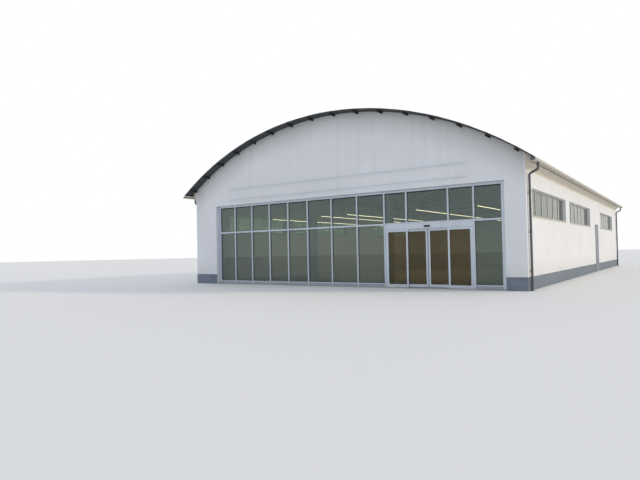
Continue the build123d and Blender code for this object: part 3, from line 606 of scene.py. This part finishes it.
OWN_FINISH = {
    "eaves_cornices": "cornice_paint",
    "side_window_frames": "window_coating",
    "side_window_glass": "window_glass",
    "curtain_base_panels": "base_panel",
    **dict.fromkeys(("left_leaf_glass", "right_leaf_glass", "sidelite_glass"), "door_glass"),
}
NEAREST_SLOT = {
    "rubber": "black_cover",
    "lamp": "light_housing",
    "mortar": "white_render",
    "galvanised": "hinge_steel",
}


def make_materials(colours, sizes):
    """Makes every finish under its short name."""
    for finish, (name, base, mark, values) in COATINGS.items():
        base = linear(base) if base[0] == "#" else getattr(colours, base)
        mark = rgba(base, mark) if isinstance(mark, float) else rgba(linear(mark))
        MATERIALS[finish] = coated(name, rgba(base), mark, **values)
    MATERIALS.update({
        "white_render": painted_render(colours),
        "roof_panel": fibre_cement(colours, sizes),
        "frame_aluminium": coated_aluminium("coated_aluminium", colours.frame),
        "window_coating": coated_aluminium("coated_aluminium_white", colours.window),
        "base_panel": coated_aluminium("coated_aluminium_grey", colours.base_panel),
        "tinted_glass": tinted_glass("tinted_glass", colours.glass, "#DDF0EE"),
        "window_glass": tinted_glass("tinted_glass_dark", colours.window_glass, "#E4F0DC"),
        "door_glass": tinted_glass("tinted_glass_warm", colours.door_glass, "#AFA890"),
        "lamp": lamp_diffuser(colours),
    })


# Pieces


class HALL_OT_finishes(bpy.types.Operator):
    """Make the materials and put them on the building's own parts"""
    bl_idname = "hall.finishes"
    bl_label = "Finishes"

    def execute(self, context):
        make_materials(context.scene.hall_colours, context.scene.hall_sizes)
        slot_of = {part["node"]: part["material_slot"] for part in frame["record"]["subparts"]}
        for name, obj in frame["nodes"].items():
            for slot in obj.material_slots:
                slot.material = MATERIALS[OWN_FINISH.get(name, slot_of[name])]
        return {"FINISHED"}


def wave_height(y, sizes):
    """Height of the sheet's underside over the roof circle: depth * (1 - cos) / 2 along Y."""
    return sizes.wave_depth * (0.5 - 0.5 * np.cos(y / sizes.wave_pitch * math.tau))


def on_arch(angle, radius, y):
    """Points at angles from the crown and radii from the roof's centre line."""
    angle, radius, y = np.broadcast_arrays(angle, radius, y)
    return np.stack([radius * np.sin(angle), y, ROOF_CENTRE + radius * np.cos(angle)], -1)


class HALL_OT_roof_sheets(bpy.types.Operator):
    """Cover the roof with corrugated sheets that lap like tiles"""
    bl_idname = "hall.roof_sheets"
    bl_label = "Roof sheets"

    def execute(self, context):
        sizes = context.scene.hall_sizes
        span = 2 * ROOF_HALF_ANGLE / sizes.sheet_rows
        side_rows = (sizes.sheet_rows - 1) // 2
        # The crown sheet lies a thickness high, and each sheet under it rises by a thickness
        # from its tucked upper edge to its lower edge.
        rise = np.array([0.0, 0.5, 1.0])
        angle = (span * (np.arange(side_rows)[:, None] + 0.5 + rise)).ravel()
        lift = np.tile(rise * sizes.sheet_thickness, side_rows)
        angle = np.concatenate([-angle[::-1], [-span / 2, 0.0, span / 2], angle])
        lift = np.concatenate([lift[::-1], [sizes.sheet_thickness] * 3, lift])
        waves = round((ROOF_Y1 - ROOF_Y0) / sizes.wave_pitch / 2)
        middle = (ROOF_Y0 + ROOF_Y1) / 2
        rows, steps_a_wave = len(angle), 8
        for number, (y0, y1) in enumerate(((ROOF_Y0, middle), (middle, ROOF_Y1))):
            y = np.linspace(y0, y1, waves * steps_a_wave + 1)
            under = ROOF_RADIUS + wave_height(y, sizes)[:, None] + lift[None, :]
            lower = on_arch(angle[None, :], under, y[:, None])
            upper = on_arch(angle[None, :], under + sizes.sheet_thickness, y[:, None])
            points = np.concatenate([upper, lower[:, ::-1]], 1)
            loop = 2 * rows
            row = np.arange(rows - 1)
            ends = np.stack([row, row + 1, loop - 2 - row, loop - 1 - row], -1)
            round_faces = grid_faces(len(y), loop, wrap_columns=True)
            # Faces on the underside take the darker copy of the fibre cement, which paints the shade
            # under the roof.
            shaded_faces = round_faces[:, 0] % loop >= rows
            finishes = np.concatenate([shaded_faces, np.zeros(2 * len(ends), bool)]).astype(int)
            faces = np.concatenate([round_faces, ends, ends + (len(y) - 1) * loop])
            sheets = piece(f"roof_sheets_{number + 1}", [(points, [faces], finishes)],
                           "roof_panel", "sooty_fibre_cement", smooth_angle=50)
            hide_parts("roof_shell")
        self.closers(sizes)
        self.bolts(sizes)
        return {"FINISHED"}

    def closers(self, sizes):
        """Mortar that fills the waves over the fascias: a strip along Y whose top is the wave."""
        low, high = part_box("eaves_cornices")
        thickness, steps_a_wave = 0.12, 6
        y = np.linspace(low.y, high.y, round((high.y - low.y) / sizes.wave_pitch) * steps_a_wave + 1)
        outer = math.asin(high.x / ROOF_RADIUS)
        groups = []
        for side in (-1, 1):
            inner = outer - thickness / ROOF_RADIUS
            top = ROOF_RADIUS + wave_height(y, sizes)
            bottom = np.full_like(top, ROOF_RADIUS - 0.002)
            radius = np.stack([bottom, bottom, top, top], -1)
            points = on_arch(side * np.array([inner, outer, outer, inner]), radius, y[:, None])
            ends = np.array([[3, 2, 1, 0]])
            faces = [grid_faces(len(y), 4, wrap_columns=True), ends, ends[:, ::-1] + (len(y) - 1) * 4]
            groups.append((points, faces))
        piece("eaves_closers", groups, "mortar")

    def bolts(self, sizes):
        """Hook bolts with domed caps, on every third crest over each purlin."""
        middle = sum(solids_of("purlins")) / 2
        angles = np.unique(np.round(np.arctan2(middle[:, 0], middle[:, 2] - ROOF_CENTRE), 4))
        first, every = math.ceil(ROOF_Y0 / sizes.wave_pitch) + 0.5, 3
        waves = int((ROOF_Y1 - ROOF_Y0) / sizes.wave_pitch)
        crests = (first + np.arange(0, waves, every)) * sizes.wave_pitch
        margin = 0.05
        crests = crests[(crests > ROOF_Y0 + margin) & (crests < ROOF_Y1 - margin)]
        top = ROOF_RADIUS + sizes.wave_depth + 1.5 * sizes.sheet_thickness
        cap = [[0.022, -0.004], [0.022, 0.002], [0.012, 0.004], [0.010, 0.012], [0.004, 0.016]]
        groups = [turned(cap, on_arch(angle, top, crests), math.sin(angle) * X + math.cos(angle) * Z,
                         Y, sides=6) for angle in angles]
        piece("roof_bolts", groups, "galvanised")


def gutter_section():
    """The right gutter's outline as (x, z), from its inner rim round to its outer rim."""
    low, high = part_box("gutters")
    x0, x1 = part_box("gutter_brackets")[1].x, high.x
    corner = 0.04
    arc = on_circle(np.linspace(-math.pi / 2, 0, 5)) * corner + [x1 - corner, low.z + corner]
    return np.concatenate([[[x0, high.z], [x0, low.z]], arc, [[x1, high.z]]])


def wrapped(outline, middle, thickness, gap=0.0):
    """A band round an outline: each point is pushed away from the middle by the thickness."""
    away = outline - middle
    away = away / np.abs(away).max(1, keepdims=True)
    return np.concatenate([outline + away * gap, (outline + away * (gap + thickness))[::-1]])


class HALL_OT_gutters(bpy.types.Operator):
    """Add the gutters' rolled rims, sleeves, straps and dark end caps, which paint the shade of the
    open ends, and the pipes' collars
    """
    bl_idname = "hall.gutters"
    bl_label = "Gutters and downpipes"

    def execute(self, context):
        sizes = context.scene.hall_sizes
        outline = gutter_section()
        low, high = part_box("gutters")
        middle = (outline[0] + outline[-1]) / 2
        ends = np.array([low.y, high.y])
        bracket_low, bracket_high = solids_of("gutter_brackets")
        places = np.unique(np.round((bracket_low + bracket_high)[:, 1] / 2, 3))
        lengths_low = np.unique(np.round(solids_of("gutters")[0][:, 1], 3))
        bead = on_circle(np.arange(10) / 10 * math.tau) * sizes.bead_radius
        rims, sleeves, straps, caps = [], [], [], []
        for side in (-1, 1):
            rim = np.array([[side * (outline[-1, 0] - sizes.bead_radius), 0, outline[-1, 1]]])
            rims.append(bars(bead, rim + Y * ends[0], rim + Y * ends[1], side * X, Z))
            joints = lengths_low[lengths_low > ends[0] + 0.1]
            band = wrapped(outline, middle, 0.004, 0.0005)
            start = joints[:, None] * Y - Y * 0.05
            sleeves.append(bars(band, start, start + Y * 0.10, side * X, Z))
            strap = plate_profile(0.03, 0.004, 0.001)
            inner = places[:, None] * Y + np.array([side * outline[0, 0], 0, outline[0, 1] + 0.001])
            outer = inner + X * side * (outline[-1, 0] - outline[0, 0])
            straps.append(bars(strap, inner, outer, Y, Z))
            # Dark caps on the gutters' ends: painted shade, standing in for the dark inside of an
            # open end.
            shell = wrapped(outline, middle, 0.006)[len(outline):]
            for end, way in ((ends[0], -1), (ends[1], 1)):
                start = np.array([[0, end, 0.0]])
                caps.append(bars(shell, start, start + Y * way * 0.006, side * X, Z))
        piece("gutter_rims", rims, "gutter_metal")
        piece("gutter_sleeves", sleeves, "gutter_metal")
        piece("gutter_straps", straps, "galvanised", slot="gutter_metal")
        piece("gutter_ends", caps, "downpipe_metal")
        self.collars()
        return {"FINISHED"}

    def collars(self):
        """Sockets with rolled edges round each downpipe, and a cone under each outlet.

        Each is turned from steps of (distance off the pipe, height) at the four corners.
        """
        points = mesh_points("downpipes")
        corner = points[(points[:, 0] > 0) & (points[:, 1] < 0)]
        foot = corner[corner[:, 2] < 0.01]
        outlet = corner[corner[:, 2] > points[:, 2].max() - 0.001]
        x, y, _ = (foot.min(0) + foot.max(0)) / 2
        outlet_x, outlet_y, outlet_z = (outlet.min(0) + outlet.max(0)) / 2
        radius = np.ptp(foot[:, 0]) / 2
        clip_tops = np.unique(np.round(solids_of("downpipe_clips")[1][:, 2], 3))
        socket = [[0.001, 0.0], [0.009, 0.0], [0.010, 0.006], [0.006, 0.012], [0.006, 0.10],
                  [0.009, 0.106], [0.006, 0.112], [0.001, 0.112]]
        cone = [[0.001, 0.0], [0.008, 0.0], [0.008, 0.05], [0.022, 0.096], [0.030, 0.098],
                [0.001, 0.098]]
        shoe = [[0.001, 0.0], [0.012, 0.0], [0.012, 0.05], [0.004, 0.07], [0.001, 0.07]]
        groups = []
        for steps, at_x, at_y, heights in ((socket, x, y, clip_tops + 0.02),
                                           (cone, outlet_x, outlet_y, [outlet_z - 0.10]),
                                           (shoe, x, y, [0.001])):
            centres = [[sx * at_x, sy * at_y, z] for sx in (-1, 1) for sy in (-1, 1) for z in heights]
            groups.append(turned(np.array(steps) + [radius, 0], centres, Z, X, sides=20))
        piece("downpipe_collars", groups, "downpipe_metal")


class HALL_OT_glazing(bpy.types.Operator):
    """Add rubber gaskets round every pane and cover caps on the front's bars"""
    bl_idname = "hall.glazing"
    bl_label = "Glazing trim"

    def execute(self, context):
        sizes = context.scene.hall_sizes
        edge = (sizes.gasket_width, sizes.gasket_width)
        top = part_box("curtain_glass")[1].z
        low, high = solids_of("curtain_glass")
        upper = high[:, 2] > top - 0.01
        # Over the uppermost panes the rubber is wider: partly the gasket and partly a painted shadow
        # under the head bar.
        head = (sizes.gasket_width, sizes.head_gasket_and_shadow)
        groups = [
            pane_rings(low[upper], high[upper], 1, (edge, head), sizes.gasket_height),
            pane_rings(low[~upper], high[~upper], 1, (edge, edge), sizes.gasket_height),
        ]
        piece("curtain_gaskets", groups, "rubber")
        places = (("sidelite_glass", "sidelite_gaskets", "building", 1),
                  ("left_leaf_glass", "left_leaf_gaskets", "left_sliding_leaf", 1),
                  ("right_leaf_glass", "right_leaf_gaskets", "right_sliding_leaf", 1),
                  ("side_window_glass", "side_window_gaskets", "building", 0))
        for glass, name, body, thin in places:
            rings = pane_rings(*solids_of(glass), thin, (edge, edge), sizes.gasket_height)
            piece(name, [rings], "rubber", body=body)
        self.caps(sizes)
        return {"FINISHED"}

    def caps(self, sizes):
        """Cover caps: a grooved section carried up each mullion and along each transom."""
        groups = []
        clear = 0.002
        for name, along, across, depth in (("curtain_mullions", 2, 0, sizes.cap_depth),
                                           ("curtain_transoms", 0, 2, sizes.cap_depth * 0.8)):
            low, high = solids_of(name)
            start, end = (low + high) / 2, (low + high) / 2
            start[:, 1] = end[:, 1] = low[:, 1]
            start[:, along], end[:, along] = low[:, along] + clear, high[:, along] - clear
            profile = cap_profile(high[:, across] - low[:, across] - 2 * clear, depth)
            groups.append(bars(profile, start, end, np.eye(3)[across], -Y))
        piece("cover_caps", groups, "frame_aluminium")


class HALL_OT_sliding_doors(bpy.types.Operator):
    """Add the sliding doors' brushes, floor guide, header grooves and sensor lens"""
    bl_idname = "hall.sliding_doors"
    bl_label = "Sliding door fittings"

    def execute(self, context):
        strip = plate_profile(0.012, 0.004, 0.001)
        inset, gap = 0.008, 0.02
        for side, body in ((-1, "left_sliding_leaf"), (1, "right_sliding_leaf")):
            low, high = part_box("left_leaf_frame" if side < 0 else "right_leaf_frame")
            meeting = high.x - inset if side < 0 else low.x + inset
            upright = ([meeting, low.y, low.z + gap], [meeting, low.y, high.z - gap])
            left, right, foot = low.x + gap / 2, high.x - gap / 2, low.z + inset
            sweep = ([left, low.y, foot], [right, low.y, foot])
            brushes = [bars(strip, *upright, X, -Y), bars(strip, *sweep, Z, -Y)]
            piece(f"{body}_brushes", brushes, "rubber", body=body)
        low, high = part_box("door_header")
        groove = plate_profile(0.006, 0.006, 0.0015)
        start = np.array([[low.x + 0.004, low.y, z] for z in (low.z + 0.035, high.z - 0.045)])
        end = start + X * (high.x - low.x - 0.008)
        piece("header_grooves", [bars(groove, start, end, Z, -Y)], "rubber")
        self.lens()
        self.guide()
        return {"FINISHED"}

    def lens(self):
        """The sensor's curved window, which bulges most in the middle.

        The bulge is the root of (1 - across to the 4th) times that of (1 - up to the 4th).
        """
        low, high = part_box("door_sensor")
        columns, rows = 25, 9
        across = np.linspace(-1, 1, columns)[None, :]
        up = np.linspace(-1, 1, rows)[:, None]
        half = np.array([(high.x - low.x) / 2 - 0.01, 0.022, (high.z - low.z) / 2 - 0.008])
        bulge = np.sqrt(np.clip(1 - across**4, 0, 1)) * np.sqrt(np.clip(1 - up**4, 0, 1))
        centre = np.array([(low.x + high.x) / 2, low.y, (low.z + high.z) / 2])
        front = np.stack(np.broadcast_arrays(
            centre[0] + across * half[0], centre[1] - bulge * half[1], centre[2] + up * half[2]), -1)
        back = front.copy()
        back[..., 1] = centre[1] + 0.002
        skin = grid_faces(rows, columns)
        number = np.arange(rows * columns).reshape(rows, columns)
        edge = np.concatenate([number[0], number[1:, -1], number[-1, -2::-1], number[-2:0:-1, 0]])
        after = np.roll(edge, -1)
        shift = rows * columns
        rim = np.stack([edge, after, after + shift, edge + shift], -1)
        points = np.concatenate([front.reshape(-1, 3), back.reshape(-1, 3)])
        piece("sensor_lens", [(points, [skin, skin + shift, rim])], "black_cover")

    def guide(self):
        """A shallow channel let into the sill under the leaves, its lips 4 mm proud."""
        leaf_low, leaf_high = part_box("left_leaf_frame")
        post_low, post_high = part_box("door_jamb_posts")
        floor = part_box("door_thresholds")[1].z
        y = (leaf_low.y + leaf_high.y) / 2
        profile = mirrored((0.010, 0.0015), (0.012, 0.004), (0.03, 0.003), (0.03, 0.0))
        clear = 0.12
        start, end = [post_low.x + clear, y, floor], [post_high.x - clear, y, floor]
        piece("floor_guide", [bars(profile, start, end, Y, Z)], "hinge_steel")


class HALL_OT_service_door(bpy.types.Operator):
    """Add kick plates, pressed fields and a drip to the service door"""
    bl_idname = "hall.service_door"
    bl_label = "Service door fittings"

    def execute(self, context):
        leaves = (("front_side_leaf", "side_leaf_front"), ("rear_side_leaf", "side_leaf_rear"))
        kick, ridge = plate_profile(0.30, 0.003, 0.001), plate_profile(0.018, 0.004, 0.0035)
        for body, leaf in leaves:
            points = mesh_points(leaf)
            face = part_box("side_door_frame")[1].x
            slab = points[points[:, 0] < face + 0.001]
            (_, y0, z0), (_, y1, z1) = slab.min(0), slab.max(0)
            kick_edge, kick_middle, border = 0.03, z0 + 0.19, 0.12
            start, end = [face, y0 + kick_edge, kick_middle], [face, y1 - kick_edge, kick_middle]
            piece(f"{leaf}_kick_plate", [bars(kick, start, end, Z, X)], "hinge_steel", body=body)
            # Pressed frames: a raised border round two fields stiffens each leaf's skin.
            a, b = y0 + border, y1 - border
            groups = []
            for low, high in ((z0 + 0.42, z0 + 1.55), (z0 + 1.70, z1 - border)):
                foot = np.array([[face, a, low], [face, b, low]])
                level = np.array([[face, a, low], [face, a, high]])
                groups.append(bars(ridge, level, level + Y * (b - a), Z, X))
                groups.append(bars(ridge, foot, foot + Z * (high - low), Y, X))
            piece(f"{leaf}_pressing", groups, "door_steel", body=body)
        low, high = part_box("side_door_frame")
        drip = [[0.0, 0.0], [0.0, 0.03], [0.045, 0.012], [0.05, 0.0], [0.044, 0.0], [0.040, 0.006]]
        height, gap = high.z - 0.04, 0.01
        start, end = [high.x, low.y + gap, height], [high.x, high.y - gap, height]
        piece("door_drip", [bars(drip, start, end, X, Z)], "gutter_metal")
        return {"FINISHED"}


class HALL_OT_lights(bpy.types.Operator):
    """Add the glowing diffusers under the rows of lights"""
    bl_idname = "hall.lights"
    bl_label = "Ceiling lights"

    def execute(self, context):
        low, high = solids_of("ceiling_lights")
        least_length = 5
        rows = high[:, 1] - low[:, 1] > least_length
        low, high = low[rows], high[rows]
        start, end = (low + high) / 2, (low + high) / 2
        start[:, 1], end[:, 1] = low[:, 1] + 0.02, high[:, 1] - 0.02
        start[:, 2] = end[:, 2] = low[:, 2]
        half_width, depth = 0.034, 0.022
        bowl = on_circle(np.linspace(0, math.pi, 9)) * [half_width, depth]
        piece("light_diffusers", [bars(bowl, start, end, X, -Z)], "lamp")
        return {"FINISHED"}


class HALL_OT_wall_trim(bpy.types.Operator):
    """Add the plinth's mortar fillet and the columns' skirtings"""
    bl_idname = "hall.wall_trim"
    bl_label = "Wall trim"

    def execute(self, context):
        groups = []
        for name, face_axis in (("gable_plinths", 1), ("side_plinths", 0)):
            run = 1 - face_axis
            for a, b in zip(*solids_of(name)):
                outward = -1 if (a + b)[face_axis] < 0 else 1
                wall = b[face_axis] if outward < 0 else a[face_axis]
                depth = b[face_axis] - a[face_axis]
                fillet = [[0.0, 0.0], [depth, 0.0], [depth * 0.6, 0.006], [0.0, 0.022]]
                start, end = np.zeros(3), np.zeros(3)
                start[run], end[run] = a[run] + 0.001, b[run] - 0.001
                start[face_axis] = end[face_axis] = wall
                start[2] = end[2] = b[2]
                groups.append(bars(fillet, start, end, outward * np.eye(3)[face_axis], Z))
        piece("plinth_fillets", groups, "plinth_render")
        low, high = solids_of("front_columns")
        centre = (low + high) / 2
        centre[:, 2] = low[:, 2]
        thick = 0.03
        skirting = [[0.0, 0.0], [thick, 0.0], [thick, 0.008], [0.006, 0.014], [0.006, 0.10],
                    [0.0, 0.104]]
        half = (high - low)[:, :2].max() / 2
        groups = []
        for axis, other in ((X, Y), (Y, X)):
            for sign in (-1, 1):
                start = centre + sign * axis * half - other * (half + thick)
                end = start + other * 2 * (half + thick)
                groups.append(bars(skirting, start, end, sign * axis, Z))
        piece("column_skirtings", groups, "hinge_steel")
        return {"FINISHED"}


CAMERA_YAW = math.radians(34.95)
CAMERA_PITCH = math.radians(1.317)
CAMERA_ROLL = math.radians(-1.167)
CAMERA_PLACE = (15.493, FRONT_Y - 22.897, 1.805)
CAMERA_LENS = 29.65


class HALL_OT_stage(bpy.types.Operator):
    """Set the floor, the background, the lamps and the camera"""
    bl_idname = "hall.stage"
    bl_label = "Stage"

    def execute(self, context):
        self.camera(context)
        self.floor()
        self.lamps(context)
        self.indoors()
        context.scene.view_settings.view_transform = "Standard"
        return {"FINISHED"}

    def camera(self, context):
        """The photograph's own viewpoint: the view is turned by yaw, pitch and roll."""
        data = bpy.data.cameras.new("camera")
        data.sensor_width = 36
        data.lens = CAMERA_LENS
        data.clip_end = 500
        made = new_object("camera", data)
        aim = Euler((math.pi / 2 + CAMERA_PITCH, 0, CAMERA_YAW)).to_matrix().to_4x4()
        roll = Matrix.Rotation(CAMERA_ROLL, 4, "Z")
        made.matrix_world = Matrix.Translation(CAMERA_PLACE) @ aim @ roll
        context.scene.camera = made

    def floor(self):
        """A pale disc far wider than the view, just under the building."""
        sides, radius = 64, 260
        ring = np.zeros((sides, 3))
        ring[:, :2] = on_circle(np.arange(sides) / sides * math.tau) * radius
        mesh = bpy.data.meshes.new("stage_floor")
        mesh.from_pydata(ring.tolist(), [], [list(range(sides))])
        material, tree, _ = new_tree("stage_paper")
        close_tree(tree, {"Base Color": rgba(linear("#E9E9E8")), "Roughness": 0.9})
        mesh.materials.append(material)
        made = new_object("stage_floor", mesh)

    def lamps(self, context):
        """A soft cool sky, a white background for the eye, and a broad lamp from the right."""
        world = bpy.data.worlds.new("studio")
        context.scene.world = world
        world.use_nodes = True
        tree = world.node_tree
        tree.nodes.clear()
        path = node(tree, "LightPath")
        seen = path["Is Camera Ray"]
        for ray in ("Is Transmission Ray", "Is Glossy Ray"):
            seen = node(tree, "Math", (seen, path[ray]), operation="MAXIMUM")[0]
        sky = node(tree, "Background", {"Color": rgba(linear("#E7EDF8")), "Strength": 0.86})[0]
        white = node(tree, "Background", {"Color": (1, 1, 1, 1), "Strength": 1.0})[0]
        mix = node(tree, "MixShader", (seen, sky, white))[0]
        node(tree, "OutputWorld", {"Surface": mix})
        data = bpy.data.lights.new("key", "SUN")
        data.energy = 1.30
        data.angle = math.radians(5)
        data.color = linear("#FFEDC8")
        key = new_object("key", data)
        toward_key = Vector((0.86, 0.36, 0.34))
        key.matrix_world = toward_key.to_track_quat("Z", "Y").to_matrix().to_4x4()

    def indoors(self):
        """Warm light from under the roof, as wide as the hall, which isn't itself seen."""
        low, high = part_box("floor_slab")
        height = 5.1
        data = bpy.data.lights.new("indoors", "AREA")
        data.shape = "RECTANGLE"
        data.size, data.size_y = (high.x - low.x) * 0.7, (high.y - low.y) * 0.8
        data.energy = 420
        data.color = linear("#FFDCAA")
        lamp = new_object("indoors", data)
        lamp.location = (0, 0, height)
        lamp.visible_camera = lamp.visible_glossy = lamp.visible_transmission = False


class HALL_PT_sidebar(bpy.types.Panel):
    bl_idname = "HALL_PT_sidebar"
    bl_label = "Arched Hall"
    bl_space_type = "VIEW_3D"
    bl_region_type = "UI"
    bl_category = "Hall"

    def draw(self, context):
        for group in (context.scene.hall_colours, context.scene.hall_sizes):
            for name in group.__annotations__:
                self.layout.prop(group, name)
        for operator in OPERATORS:
            self.layout.operator(operator.bl_idname)


OPERATORS = (
    HALL_OT_finishes, HALL_OT_roof_sheets, HALL_OT_gutters, HALL_OT_glazing, HALL_OT_sliding_doors,
    HALL_OT_service_door, HALL_OT_lights, HALL_OT_wall_trim, HALL_OT_stage,
)
CLASSES = (HallColours, HallSizes, *OPERATORS, HALL_PT_sidebar)


def register():
    for cls in CLASSES:
        bpy.utils.register_class(cls)
    bpy.types.Scene.hall_colours = bpy.props.PointerProperty(type=HallColours)
    bpy.types.Scene.hall_sizes = bpy.props.PointerProperty(type=HallSizes)


def unregister():
    del bpy.types.Scene.hall_colours
    del bpy.types.Scene.hall_sizes
    for cls in reversed(CLASSES):
        bpy.utils.unregister_class(cls)


def main():
    register()
    bpy.ops.hall.finishes()
    bpy.ops.hall.roof_sheets()
    bpy.ops.hall.gutters()
    bpy.ops.hall.glazing()
    bpy.ops.hall.sliding_doors()
    bpy.ops.hall.service_door()
    bpy.ops.hall.lights()
    bpy.ops.hall.wall_trim()
    bpy.ops.hall.stage()


if __name__ == "__main__":
    main()
